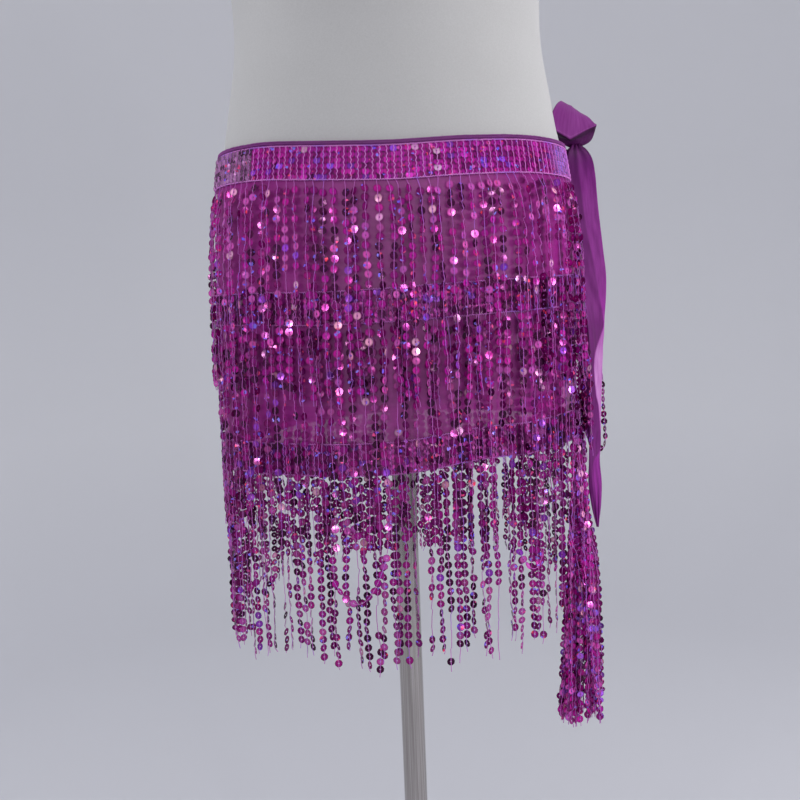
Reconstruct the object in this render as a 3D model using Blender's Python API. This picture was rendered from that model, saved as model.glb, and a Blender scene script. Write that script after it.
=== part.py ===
"""A belly dance hip scarf tied round a limbless dress form on a pole stand.

Metres, +Z up. The front faces -Y, and the scarf is tied at +X, on the form's left hip. The origin
is the middle of the stand's underside. Angles run round the body in degrees: 0 is the middle of
the front, 90 is the side at +X, and the scarf runs from its front end, past -90 and the back, to
its back end, with a slit between the two.
"""

import math
import random
from collections import namedtuple

import bmesh
import bpy
from mathutils import Matrix, Vector

MM = 0.001

# Thicknesses and gaps
SEAM_GAP = 0.3 * MM
FORM_CLEARANCE = 0.8 * MM
CLOTH_WALL = 1.2 * MM
TAPE_WALL = 1.7 * MM
SATIN_WALL = 1.3 * MM

# The scarf
FRONT_END = 84.0
BACK_END = -254.0
HEADER_HEIGHT = 25.5 * MM
BINDING_HEIGHT = 3.0 * MM
CLOTH_COLUMNS = 72
HANG_FROM = 0.84

# The fringe
STRANDS_A_TIER = 64
STRAND_WIDTH = 5.0 * MM
STRIP_HEIGHT = 3.2 * MM
STRIP_WALL = 1.6 * MM
TIP_UNEVENNESS = 13.0 * MM
CORNER_FROM = 58.0
CORNER_SHORTENING = 36.0 * MM
CORNER_STRANDS = 8
CORNER_STRAND_WIDTH = 2.3 * MM
CORNER_DROP = 131.0 * MM
CORNER_DROP_SLANT = 8.0 * MM
CORNER_TIP_UNEVENNESS = 2.0 * MM
CORNER_SPREAD = 1.75
CORNER_KNEE_SPREAD = 0.35
CORNER_KNEE_DROP = 0.3

# The knot
KNOT_CENTRE = Vector((161.5, 1.0, 967.3)) * MM
KNOT_RADII = Vector((7.5, 6.5, 5.0)) * MM

# The stand
POLE_RADIUS = 11.0 * MM
BASE_RADIUS = 195.0 * MM
BASE_HEIGHT = 14.0 * MM
BASE_BEVEL = 4.0 * MM

Section = namedtuple("Section", "height half_width half_depth")
Hang = namedtuple("Hang", "angle first second third")
Fold = namedtuple("Fold", "angle half_angle rise top bottom")
Tier = namedtuple("Tier", "name header knee knee_out length tip_out phase seed")
Station = namedtuple("Station", "along x y z width turn tilt cup")

# The dress form, from its underside to the top of its neck
FORM = (
    Section(0.7630, 0.1480, 0.1115),
    Section(0.7660, 0.1522, 0.1152),
    Section(0.7730, 0.1550, 0.1184),
    Section(0.7860, 0.1563, 0.1199),
    Section(0.8400, 0.1568, 0.1203),
    Section(0.8800, 0.1560, 0.1196),
    Section(0.9200, 0.1538, 0.1174),
    Section(0.9550, 0.1493, 0.1136),
    Section(1.0050, 0.1402, 0.1052),
    Section(1.0560, 0.1318, 0.0975),
    Section(1.1000, 0.1316, 0.0980),
    Section(1.1600, 0.1392, 0.1045),
    Section(1.2200, 0.1470, 0.1125),
    Section(1.2800, 0.1530, 0.1165),
    Section(1.3300, 0.1600, 0.1140),
    Section(1.3700, 0.1650, 0.1080),
    Section(1.4000, 0.1650, 0.1010),
    Section(1.4220, 0.1570, 0.0945),
    Section(1.4400, 0.1360, 0.0870),
    Section(1.4560, 0.1080, 0.0790),
    Section(1.4720, 0.0810, 0.0700),
    Section(1.4900, 0.0640, 0.0610),
    Section(1.5150, 0.0565, 0.0560),
    Section(1.5400, 0.0540, 0.0540),
    Section(1.5480, 0.0515, 0.0515),
    Section(1.5510, 0.0460, 0.0460),
)
FORM_SIDES = 40
FORM_RING_GAP = 0.036

# The heights of the three sequinned headers' lower edges, round the body
HEADERS = (
    Hang(-254, 0.9408, 0.8362, 0.7262),
    Hang(-225, 0.9420, 0.8350, 0.7270),
    Hang(-180, 0.9425, 0.8345, 0.7262),
    Hang(-135, 0.9430, 0.8315, 0.7190),
    Hang(-90, 0.9432, 0.8285, 0.7050),
    Hang(-45, 0.9406, 0.8283, 0.7088),
    Hang(-20, 0.9352, 0.8270, 0.7100),
    Hang(0, 0.9328, 0.8282, 0.7115),
    Hang(20, 0.9354, 0.8305, 0.7182),
    Hang(45, 0.9388, 0.8327, 0.7190),
    Hang(84, 0.9405, 0.8360, 0.7240),
)

# Soft upright folds of the base cloth: how far they stand out, and the heights they fade between
FOLDS = (
    Fold(-238, 9, 2.2 * MM, 0.92, 0.80),
    Fold(-205, 12, 1.6 * MM, 0.91, 0.78),
    Fold(-168, 10, 2.4 * MM, 0.93, 0.82),
    Fold(-131, 13, 1.8 * MM, 0.92, 0.79),
    Fold(-72, 9, 1.0 * MM, 0.90, 0.77),
    Fold(-43, 8, 1.7 * MM, 0.92, 0.81),
    Fold(-17, 10, 1.2 * MM, 0.90, 0.76),
    Fold(12, 8, 1.5 * MM, 0.91, 0.80),
    Fold(38, 7, 2.6 * MM, 0.94, 0.84),
    Fold(61, 8, 1.4 * MM, 0.92, 0.80),
)

TIERS = (
    Tier("top", "first", 0.018, 3.4 * MM, 0.168, 6.4 * MM, 0.25, 3),
    Tier("middle", "second", 0.078, 2.9 * MM, 0.175, 4.0 * MM, 0.75, 5),
    Tier("lower", "third", 0.045, 1.4 * MM, 0.157, 2.9 * MM, 0.25, 8),
)

# Satin pieces, in millimetres and degrees: turn is round Z, and tilt lifts the width's far end
TIE_FRONT = (
    Station(0, 150.4, -11.2, 962.2, 12.0, 0, 90, 0),
    Station(5, 152.4, -7.2, 963.8, 10.0, 0, 90, 0),
    Station(9, 154.7, -2.9, 966.4, 6.0, 0, 90, 0),
)
TIE_BACK = (
    Station(0, 145.6, 30.2, 962.6, 12.0, 0, 90, 0),
    Station(9, 152.0, 23.0, 964.0, 10.5, 0, 90, 0),
    Station(18, 157.2, 14.6, 965.6, 8.0, 0, 90, 0),
    Station(26, 160.2, 8.1, 967.0, 5.5, 0, 90, 0),
)
BOW_LOOP = (
    Station(0, 161.5, 3.2, 972.6, 6, 4, 0, 0.0),
    Station(8, 162.0, 7.4, 981.0, 20, 20, 0, 0.6),
    Station(19, 162.4, 8.6, 992.0, 26, 22, -4, 1.0),
    Station(30, 161.4, 4.0, 1001.4, 22, 22, -16, 0.8),
    Station(39, 158.8, -5.0, 1004.4, 20, 24, -24, 0.4),
    Station(48, 158.6, -13.0, 999.6, 30, 26, -14, 1.4),
    Station(58, 158.6, -18.0, 991.2, 42, 28, -4, 2.2),
    Station(65, 159.0, -19.0, 985.6, 44, 28, 2, 2.0),
    Station(71, 159.8, -14.8, 981.6, 35, 24, 2, 1.4),
    Station(80, 161.0, -7.8, 976.4, 18, 12, 0, 0.6),
    Station(86, 161.5, -1.4, 972.6, 6, 0, 0, 0.0),
)
TAIL_FRONT = (
    Station(0, 162.2, 0.0, 961.8, 10.0, 0, 0, 0.0),
    Station(14, 166.6, 1.2, 948.0, 24.5, 0, 0, 2.0),
    Station(43, 169.8, 2.6, 920.0, 25.5, 2, 0, 2.4),
    Station(72, 174.0, 3.6, 890.0, 24.5, 4, 0, 2.0),
    Station(107, 178.4, 4.0, 855.0, 23.5, 8, 0, 1.6),
    Station(142, 179.8, 4.0, 820.0, 19.0, 22, 0, 1.2),
    Station(173, 180.0, 4.0, 789.0, 17.0, 32, 0, 0.8),
    Station(217, 179.6, 4.0, 745.0, 14.5, 38, 0, 0.4),
    Station(262, 178.4, 4.0, 700.0, 15.0, 28, 0, 0.2),
    Station(292, 178.0, 4.0, 670.0, 13.5, 14, 0, 0.0),
    Station(318, 179.2, 4.0, 644.0, 8.5, 4, 0, 0.0),
    Station(336, 180.2, 4.0, 626.0, 1.8, 0, 0, 0.0),
)
TAIL_BACK = (
    Station(0, 162.2, 3.6, 962.1, 8.0, 0, 0, 0.0),
    Station(14, 165.2, 8.6, 948.0, 22.0, -2, 0, 1.4),
    Station(43, 168.2, 12.2, 920.0, 23.5, -4, 0, 1.8),
    Station(72, 171.4, 13.6, 890.0, 22.0, -6, 0, 1.6),
    Station(107, 174.6, 14.4, 855.0, 20.0, -10, 0, 1.2),
    Station(150, 176.0, 14.6, 812.0, 18.0, -14, 0, 0.8),
    Station(200, 175.6, 14.6, 762.0, 15.0, -10, 0, 0.4),
    Station(240, 176.2, 14.2, 722.0, 11.0, -4, 0, 0.0),
    Station(262, 177.0, 14.0, 700.0, 1.8, 0, 0, 0.0),
)
# The lower header's spare end, which hangs down beside the slit
CORNER_HEADER = (
    Station(0, 150.4, -39.9, 721.8, 25.5, 66, 5, 0),
    Station(22, 150.4, -39.9, 700.0, 25.5, 66, 0, 0),
    Station(52, 151.0, -42.0, 670.0, 25.0, 60, 0, 0),
    Station(85, 151.4, -46.0, 637.0, 24.5, 46, 0, 0),
    Station(120, 150.6, -49.5, 602.0, 25.0, 32, 0, 0),
)


def clear_scene():
    for thing in list(bpy.data.objects):
        bpy.data.objects.remove(thing, do_unlink=True)


def material(name, colour, roughness, metallic=0.0):
    made = bpy.data.materials.new(name)
    made.use_nodes = True
    shader = made.node_tree.nodes["Principled BSDF"]
    shader.inputs["Base Color"].default_value = (*colour, 1.0)
    shader.inputs["Roughness"].default_value = roughness
    shader.inputs["Metallic"].default_value = metallic
    made.diffuse_color = (*colour, 1.0)
    return made


def add_object(name, shape, surface, smooth_angle=35.0):
    """Turns a bmesh into a named object, with its faces out."""
    bmesh.ops.recalc_face_normals(shape, faces=shape.faces[:])
    mesh = bpy.data.meshes.new(name)
    shape.to_mesh(mesh)
    shape.free()
    mesh.materials.append(surface)
    mesh.shade_smooth()
    mesh.set_sharp_from_angle(angle=math.radians(smooth_angle))
    made = bpy.data.objects.new(name, mesh)
    bpy.context.scene.collection.objects.link(made)
    return made


def between(rows, at):
    """A row read from a table at a value of its first column, on a smooth curve through the rows."""
    keys = [row[0] for row in rows]
    at = min(max(at, keys[0]), keys[-1])
    i = max(k for k in range(len(keys) - 1) if keys[k] <= at)
    step = keys[i + 1] - keys[i]
    t = (at - keys[i]) / step

    def slope(k, column):
        low, high = max(k - 1, 0), min(k + 1, len(rows) - 1)
        return (rows[high][column] - rows[low][column]) / (keys[high] - keys[low])

    values = [at]
    for column in range(1, len(rows[0])):
        first, last = rows[i][column], rows[i + 1][column]
        leave, arrive = slope(i, column) * step, slope(i + 1, column) * step
        values.append(
            first * (2 * t**3 - 3 * t**2 + 1)
            + leave * (t**3 - 2 * t**2 + t)
            + last * (3 * t**2 - 2 * t**3)
            + arrive * (t**3 - t**2)
        )
    return type(rows[0])(*values)


def header_edge(which, angle):
    """The height of a header's lower edge."""
    return getattr(between(HEADERS, angle), which)


def fold_rise(angle, height):
    """How far the folds lift the cloth off its smooth shape."""
    rise = 0.0
    for fold in FOLDS:
        across = abs(angle - fold.angle) / fold.half_angle
        down = min(max((fold.top - height) / (fold.top - fold.bottom), 0.0), 1.0)
        if across < 1.0:
            rise += fold.rise * down * (0.5 + 0.5 * math.cos(math.pi * across))
    return rise


def cloth_face(angle, height, out=0.0):
    """A point on the base cloth's outer face, moved out from it."""
    section = between(FORM, max(height, HANG_FROM))
    away = FORM_CLEARANCE + CLOTH_WALL
    wide, deep = section.half_width + away, section.half_depth + away
    sine, cosine = math.sin(math.radians(angle)), math.cos(math.radians(angle))
    normal = Vector((deep * sine, -wide * cosine, 0.0)).normalized()
    return Vector((wide * sine, -deep * cosine, height)) + normal * (fold_rise(angle, height) + out)


def even_angles(start, end, shares):
    """The angles that lie at these shares of the way round the hips from start to end."""
    steps = 720
    section = between(FORM, HANG_FROM)
    angles = [start + (end - start) * i / steps for i in range(steps + 1)]
    walked = [0.0]
    for a, b in zip(angles, angles[1:]):
        middle = math.radians((a + b) / 2)
        speed = math.hypot(section.half_width * math.cos(middle), section.half_depth * math.sin(middle))
        walked.append(walked[-1] + speed)
    found = []
    k = 0
    for share in shares:
        target = share * walked[-1]
        while k < steps - 1 and walked[k + 1] < target:
            k += 1
        part = (target - walked[k]) / (walked[k + 1] - walked[k])
        found.append(angles[k] + part * (angles[k + 1] - angles[k]))
    return found


def wall(shape, outer, inner):
    """Closes two grids of points, rows by columns, into one wall. It returns the first row's edge faces."""
    rows, columns = len(outer), len(outer[0])
    front = [[shape.verts.new(point) for point in row] for row in outer]
    back = [[shape.verts.new(point) for point in row] for row in inner]
    for i in range(rows - 1):
        for j in range(columns - 1):
            shape.faces.new((front[i][j], front[i][j + 1], front[i + 1][j + 1], front[i + 1][j]))
            shape.faces.new((back[i + 1][j], back[i + 1][j + 1], back[i][j + 1], back[i][j]))
    first = []
    for j in range(columns - 1):
        first.append(shape.faces.new((front[0][j], back[0][j], back[0][j + 1], front[0][j + 1])))
        shape.faces.new((front[-1][j], front[-1][j + 1], back[-1][j + 1], back[-1][j]))
    for i in range(rows - 1):
        shape.faces.new((front[i][0], front[i + 1][0], back[i + 1][0], back[i][0]))
        shape.faces.new((front[i][-1], back[i][-1], back[i + 1][-1], front[i + 1][-1]))
    return first


def cloth_band(name, surface, heights, inner_out, outer_out):
    """A wall that follows the cloth round the body. heights holds a function of the angle for each row."""
    shares = [i / CLOTH_COLUMNS for i in range(CLOTH_COLUMNS + 1)]
    angles = even_angles(BACK_END, FRONT_END, shares)
    shape = bmesh.new()
    wall(
        shape,
        [[cloth_face(a, height(a), outer_out) for a in angles] for height in heights],
        [[cloth_face(a, height(a), inner_out) for a in angles] for height in heights],
    )
    return add_object(name, shape, surface)


def build_cloth(satin):
    """The base cloth hangs from the waist to the lower header's edge."""

    def edge(which, above=0.0):
        return lambda angle: header_edge(which, angle) + above

    def halfway(lower, upper):
        return lambda angle: (
            header_edge(lower, angle) + HEADER_HEIGHT + header_edge(upper, angle)
        ) / 2

    top = HEADER_HEIGHT + SEAM_GAP + BINDING_HEIGHT
    heights = [
        edge("third"),
        edge("third", HEADER_HEIGHT),
        halfway("third", "second"),
        edge("second"),
        edge("second", HEADER_HEIGHT),
        halfway("second", "first"),
        edge("first"),
        edge("first", HEADER_HEIGHT),
        edge("first", top),
    ]
    cloth_band("hip_cloth", satin, heights, -CLOTH_WALL, 0.0)
    binding = [edge("first", HEADER_HEIGHT + SEAM_GAP), edge("first", top)]
    cloth_band("waist_binding", satin, binding, SEAM_GAP, SEAM_GAP + TAPE_WALL)


def build_headers(sequins):
    """Three tapes of close-set sequins, sewn round the cloth."""
    for tier in TIERS:
        heights = [
            lambda angle, header=tier.header: header_edge(header, angle),
            lambda angle, header=tier.header: header_edge(header, angle) + HEADER_HEIGHT,
        ]
        cloth_band(f"header_{tier.name}", sequins, heights, SEAM_GAP, SEAM_GAP + TAPE_WALL)


def extrude_strand(shape, face, moves):
    """Draws a strand out of a face, one straight stretch for each move."""
    for move in moves:
        face = bmesh.ops.extrude_discrete_faces(shape, faces=[face])["faces"][0]
        bmesh.ops.translate(shape, verts=face.verts[:], vec=move)


def build_fringe(tier, sequins):
    """A narrow strip under a header, with the tier's hanging strands drawn out of its lower edge."""
    last = CORNER_FROM + 2.0 if tier.name == "lower" else FRONT_END
    count = STRANDS_A_TIER
    section = between(FORM, HANG_FROM)
    girth = 2 * math.pi * math.hypot(section.half_width, section.half_depth) / math.sqrt(2)
    half = STRAND_WIDTH / (girth * (last - BACK_END) / 360) / 2
    shares = [0.0]
    for i in range(count):
        middle = (i + tier.phase) / count
        shares += [middle - half, middle + half]
    shares.append(1.0)
    angles = even_angles(BACK_END, last, shares)

    def strip_point(angle, below, out):
        return cloth_face(angle, header_edge(tier.header, angle) - below, out)

    shape = bmesh.new()
    drops = (SEAM_GAP + STRIP_HEIGHT, SEAM_GAP)
    edge_faces = wall(
        shape,
        [[strip_point(a, drop, SEAM_GAP + STRIP_WALL) for a in angles] for drop in drops],
        [[strip_point(a, drop, SEAM_GAP) for a in angles] for drop in drops],
    )
    bmesh.ops.recalc_face_normals(shape, faces=shape.faces[:])
    uneven = random.Random(tier.seed)
    for i, face in enumerate(edge_faces[1::2]):
        angle = (angles[2 * i + 1] + angles[2 * i + 2]) / 2
        top = header_edge(tier.header, angle) - drops[0]
        length = tier.length - uneven.uniform(0.0, TIP_UNEVENNESS)
        if tier.name == "middle" and angle > CORNER_FROM:
            length -= CORNER_SHORTENING
        start = cloth_face(angle, top, SEAM_GAP)
        knee = cloth_face(angle, top - tier.knee, tier.knee_out)
        tip = cloth_face(angle, top - length + drops[0], tier.tip_out)
        extrude_strand(shape, face, (knee - start, tip - knee))
    return add_object(f"fringe_{tier.name}", shape, sequins, 20.0)


def ribbon_grids(stations, thickness, samples, columns):
    """The outer and inner points of a satin strip through its stations."""
    length = stations[-1].along
    rows = [between(stations, length * i / (samples - 1)) for i in range(samples)]
    centres = [Vector((row.x, row.y, row.z)) * MM for row in rows]
    outer, inner = [], []
    for i, row in enumerate(rows):
        turn, tilt = math.radians(row.turn), math.radians(row.tilt)
        across = Vector(
            (math.cos(turn) * math.cos(tilt), math.sin(turn) * math.cos(tilt), math.sin(tilt))
        )
        run = centres[min(i + 1, samples - 1)] - centres[max(i - 1, 0)]
        normal = across.cross(run).normalized()
        outer.append([])
        inner.append([])
        for j in range(columns + 1):
            share = 2 * j / columns - 1
            bulge = normal * row.cup * MM * (1 - share * share)
            point = centres[i] + across * share * row.width * MM / 2 + bulge
            outer[-1].append(point + normal * thickness / 2)
            inner[-1].append(point - normal * thickness / 2)
    return outer, inner


def build_ribbon(name, surface, stations, samples, columns=4, thickness=SATIN_WALL):
    shape = bmesh.new()
    wall(shape, *ribbon_grids(stations, thickness, samples, columns))
    return add_object(name, shape, surface)


def build_knot(satin):
    """The knot, with the two ties that run into it, its single loop and its two tails."""
    shape = bmesh.new()
    bmesh.ops.create_uvsphere(shape, u_segments=20, v_segments=10, radius=1.0)
    bmesh.ops.scale(shape, verts=shape.verts[:], vec=KNOT_RADII)
    bmesh.ops.translate(shape, verts=shape.verts[:], vec=KNOT_CENTRE)
    add_object("knot", shape, satin)
    build_ribbon("tie_front", satin, TIE_FRONT, samples=4)
    build_ribbon("tie_back", satin, TIE_BACK, samples=7)
    build_ribbon("bow_loop", satin, BOW_LOOP, samples=23, columns=6)
    build_ribbon("tail_front", satin, TAIL_FRONT, samples=25)
    build_ribbon("tail_back", satin, TAIL_BACK, samples=19)


def build_corner(sequins):
    """The lower header's spare end and the bundle of strands that hangs from it."""
    outer, inner = ribbon_grids(CORNER_HEADER, TAPE_WALL, 9, 1)
    shape = bmesh.new()
    wall(shape, outer, inner)
    add_object("header_corner", shape, sequins)

    left, right = (outer[-1][0] + inner[-1][0]) / 2, (outer[-1][1] + inner[-1][1]) / 2
    depth = (outer[-1][0] - inner[-1][0]).normalized() * STRIP_WALL / 2
    length = (right - left).length
    half = CORNER_STRAND_WIDTH / length / 2
    shares = [0.0]
    for i in range(CORNER_STRANDS):
        middle = (i + 0.5) / CORNER_STRANDS
        shares += [middle - half, middle + half]
    shares.append(1.0)

    def strip_row(side, below):
        drop = Vector((0.0, 0.0, -below))
        return [left.lerp(right, share) + depth * side + drop for share in shares]

    shape = bmesh.new()
    drops = (SEAM_GAP + STRIP_HEIGHT, SEAM_GAP)
    edge_faces = wall(
        shape,
        [strip_row(1, drop) for drop in drops],
        [strip_row(-1, drop) for drop in drops],
    )
    bmesh.ops.recalc_face_normals(shape, faces=shape.faces[:])
    uneven = random.Random(13)
    for i, face in enumerate(edge_faces[1::2]):
        middle = (i + 0.5) / CORNER_STRANDS - 0.5
        spread = (right - left) * middle * (CORNER_SPREAD - 1)
        drop = CORNER_DROP + CORNER_DROP_SLANT * (0.5 - middle)
        drop += uneven.uniform(-CORNER_TIP_UNEVENNESS, CORNER_TIP_UNEVENNESS)
        whole = spread + Vector((0.0, 0.0, -drop))
        knee = spread * CORNER_KNEE_SPREAD + Vector((0.0, 0.0, -CORNER_KNEE_DROP * drop))
        extrude_strand(shape, face, (knee, whole - knee))
    add_object("fringe_corner", shape, sequins, 20.0)


def build_form(skin):
    """The limbless form: rings from the underside to the neck's top."""
    shape = bmesh.new()
    # The table's own heights, and one halfway between those that lie far apart
    heights = [row.height for row in FORM]
    heights += [
        (low.height + high.height) / 2
        for low, high in zip(FORM, FORM[1:])
        if high.height - low.height > FORM_RING_GAP
    ]
    heights.sort()
    rings = []
    for height in heights:
        section = between(FORM, height)
        ring = []
        for i in range(FORM_SIDES):
            angle = 2 * math.pi * i / FORM_SIDES
            x, y = section.half_width * math.sin(angle), -section.half_depth * math.cos(angle)
            ring.append(shape.verts.new((x, y, height)))
        rings.append(ring)
    for below, above in zip(rings, rings[1:]):
        for i in range(FORM_SIDES):
            j = (i + 1) % FORM_SIDES
            shape.faces.new((below[i], below[j], above[j], above[i]))
    shape.faces.new(rings[0])
    shape.faces.new(rings[-1])
    add_object("dress_form", shape, skin)


def turned(name, surface, profile, sides):
    """A solid turned round Z from (radius, height) corners, bottom to top."""
    shape = bmesh.new()
    rings = []
    for radius, height in profile:
        made = bmesh.ops.create_circle(
            shape, segments=sides, radius=radius, matrix=Matrix.Translation((0, 0, height))
        )
        rings.append(made["verts"])
    for below, above in zip(rings, rings[1:]):
        for i in range(sides):
            j = (i + 1) % sides
            shape.faces.new((below[i], below[j], above[j], above[i]))
    shape.faces.new(rings[0])
    shape.faces.new(rings[-1])
    return add_object(name, shape, surface)


def build_stand(chrome, steel):
    """The pole and the round base that carry the form."""
    underside = FORM[0].height
    turned(
        "pole",
        chrome,
        ((POLE_RADIUS, BASE_HEIGHT + SEAM_GAP), (POLE_RADIUS, underside - SEAM_GAP)),
        32,
    )
    turned(
        "base_plate",
        steel,
        (
            (BASE_RADIUS, 0.0),
            (BASE_RADIUS, BASE_HEIGHT - BASE_BEVEL),
            (BASE_RADIUS - BASE_BEVEL * 0.3, BASE_HEIGHT - BASE_BEVEL * 0.3),
            (BASE_RADIUS - BASE_BEVEL, BASE_HEIGHT),
        ),
        64,
    )


def main():
    clear_scene()
    satin = material("purple satin", (0.22, 0.035, 0.20), 0.42)
    sequins = material("purple sequins", (0.30, 0.02, 0.24), 0.25, 0.8)
    skin = material("grey form cover", (0.48, 0.48, 0.50), 0.85)
    chrome = material("chrome", (0.75, 0.74, 0.74), 0.12, 1.0)
    steel = material("painted steel", (0.62, 0.62, 0.64), 0.4, 0.6)
    build_form(skin)
    build_stand(chrome, steel)
    build_cloth(satin)
    build_headers(sequins)
    for tier in TIERS:
        build_fringe(tier, sequins)
    build_corner(sequins)
    build_knot(satin)


main()
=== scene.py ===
# %% [markdown]
# # A belly dance hip scarf on a dress form
#
# The real scarf is a strip of thin purple satin. Three tapes of overlapping sequins are sewn round
# it, and from each tape hang about a hundred strings of small, nearly flat sequins. Two satin ties
# close it at one hip. This lesson dresses the model's plain solids, one maker's step at a time.

# %% Load the frame
import math
from collections import namedtuple

import bmesh
import bpy
import numpy as np
from mathutils import Matrix, Vector, noise


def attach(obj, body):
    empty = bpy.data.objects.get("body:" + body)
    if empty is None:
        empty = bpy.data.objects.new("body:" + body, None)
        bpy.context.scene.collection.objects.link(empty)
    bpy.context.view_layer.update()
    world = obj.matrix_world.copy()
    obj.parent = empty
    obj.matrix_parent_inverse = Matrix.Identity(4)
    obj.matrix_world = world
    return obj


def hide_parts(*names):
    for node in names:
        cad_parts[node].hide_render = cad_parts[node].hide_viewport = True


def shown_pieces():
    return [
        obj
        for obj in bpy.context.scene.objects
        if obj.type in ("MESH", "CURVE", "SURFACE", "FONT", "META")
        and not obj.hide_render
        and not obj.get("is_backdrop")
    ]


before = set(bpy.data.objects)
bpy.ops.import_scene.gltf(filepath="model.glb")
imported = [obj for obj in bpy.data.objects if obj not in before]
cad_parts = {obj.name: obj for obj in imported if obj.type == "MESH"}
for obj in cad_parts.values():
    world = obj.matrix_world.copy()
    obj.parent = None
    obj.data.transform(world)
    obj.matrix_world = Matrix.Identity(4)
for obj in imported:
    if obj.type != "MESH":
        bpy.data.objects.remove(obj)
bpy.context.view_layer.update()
MM = 0.001


def add_object(name, data):
    """A new object, linked to the scene."""
    made = bpy.data.objects.new(name, data)
    bpy.context.scene.collection.objects.link(made)
    return made


# %% [markdown]
# ## The camera and the colours' scale
#
# A viewing angle is part of a likeness, so it comes first. The camera stands at hip height, looks a
# little down, and is rolled by two degrees. The Standard view transform shows a colour as it is
# mixed, which suits a strong purple better than a filmic curve, which greys it.

# %% Camera
EYE = (-0.0008, -0.728, 0.844)
LOOK_DOWN, ROLL = 7.1, -2.2
SENSOR_WIDTH, FOCAL_LENGTH = 36.0, 36.09
camera = add_object("camera", bpy.data.cameras.new("camera"))
camera.data.sensor_width, camera.data.lens = SENSOR_WIDTH, FOCAL_LENGTH
camera.matrix_world = (
    Matrix.Translation(EYE)
    @ Matrix.Rotation(math.radians(90 - LOOK_DOWN), 4, "X")
    @ Matrix.Rotation(math.radians(ROLL), 4, "Z")
)
bpy.context.scene.camera = camera
bpy.context.scene.view_settings.view_transform = "Standard"
print("camera at", EYE)

# %% [markdown]
# ## The body's shape as tables
#
# Everything here hangs on one form, so every piece asks the same question: where is the cloth at
# this angle and this height? Three short tables answer it: the form's sections, the heights of the
# three tapes' lower edges round the body, and the soft folds of the cloth. A smooth curve is read
# through each table, for a whole array of places at once. Angles are degrees round the body from
# the middle of its front, and the scarf runs from its back end to its front end.

# %% Tables and the curve through them
SEAM_GAP, FORM_CLEARANCE, CLOTH_WALL = 0.3 * MM, 0.8 * MM, 1.2 * MM
FRONT_END, BACK_END = 84.0, -254.0
TAPE_HEIGHT, BINDING_HEIGHT = 25.5 * MM, 3.0 * MM
HANG_FROM = 0.84  # the hips' widest height: below it the cloth hangs straight down
FORM = (  # height, half width, half depth
    (0.763, 0.148, 0.1115), (0.766, 0.1522, 0.1152), (0.773, 0.155, 0.1184),
    (0.786, 0.1563, 0.1199), (0.84, 0.1568, 0.1203), (0.88, 0.156, 0.1196),
    (0.92, 0.1538, 0.1174), (0.955, 0.1493, 0.1136), (1.005, 0.1402, 0.1052),
    (1.056, 0.1318, 0.0975), (1.1, 0.1316, 0.098), (1.16, 0.1392, 0.1045),
    (1.22, 0.147, 0.1125), (1.28, 0.153, 0.1165), (1.33, 0.16, 0.114),
    (1.37, 0.165, 0.108), (1.4, 0.165, 0.101), (1.422, 0.157, 0.0945),
    (1.44, 0.136, 0.087), (1.456, 0.108, 0.079), (1.472, 0.081, 0.07),
    (1.49, 0.064, 0.061), (1.515, 0.0565, 0.056), (1.54, 0.054, 0.054),
    (1.548, 0.0515, 0.0515), (1.551, 0.046, 0.046),
)
HEADERS = (  # angle, then the lower edges of the top, middle and lower tapes
    (-254, 0.9408, 0.8362, 0.7262), (-225, 0.942, 0.835, 0.727),
    (-180, 0.9425, 0.8345, 0.7262), (-135, 0.943, 0.8315, 0.719),
    (-90, 0.9432, 0.8285, 0.705), (-45, 0.9406, 0.8283, 0.7088),
    (-20, 0.9352, 0.827, 0.71), (0, 0.9328, 0.8282, 0.7115),
    (20, 0.9354, 0.8305, 0.7182), (45, 0.9388, 0.8327, 0.719), (84, 0.9405, 0.836, 0.724),
)
FOLDS = (  # angle, half angle, rise in mm, top, bottom
    (-238, 9, 2.2, 0.92, 0.80), (-205, 12, 1.6, 0.91, 0.78), (-168, 10, 2.4, 0.93, 0.82),
    (-131, 13, 1.8, 0.92, 0.79), (-72, 9, 1.0, 0.90, 0.77), (-43, 8, 1.7, 0.92, 0.81),
    (-17, 10, 1.2, 0.90, 0.76), (12, 8, 1.5, 0.91, 0.80), (38, 7, 2.6, 0.94, 0.84),
    (61, 8, 1.4, 0.92, 0.80),
)
TAPES = {"top": 1, "middle": 2, "lower": 3}  # each tape's column in HEADERS


def read(table, at):
    """Rows read from a table at values of its first column, on a smooth curve through its rows."""
    table = np.asarray(table, float)
    keys = table[:, 0]
    at = np.clip(np.asarray(at, float), keys[0], keys[-1])
    i = np.clip(np.searchsorted(keys, at, side="right") - 1, 0, len(keys) - 2)
    step = (keys[i + 1] - keys[i])[..., None]
    t = (at - keys[i])[..., None] / step
    rows = np.arange(len(keys))
    low, high = np.maximum(rows - 1, 0), np.minimum(rows + 1, len(keys) - 1)
    slopes = (table[high] - table[low]) / (keys[high] - keys[low])[:, None]
    return (
        table[i] * (2 * t**3 - 3 * t**2 + 1)
        + slopes[i] * step * (t**3 - 2 * t**2 + t)
        + table[i + 1] * (3 * t**2 - 2 * t**3)
        + slopes[i + 1] * step * (t**3 - t**2)
    )


print("tables:", len(FORM), "sections,", len(HEADERS), "tape heights,", len(FOLDS), "folds")

# %% Places on the cloth
ANGLE_STEPS = 1441  # places at which distances round the hips are added up


def section_at(height):
    """The half width and half depth of the cloth's outer face."""
    found = read(FORM, np.maximum(height, HANG_FROM)) + FORM_CLEARANCE + CLOTH_WALL
    return found[..., 1], found[..., 2]


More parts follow.
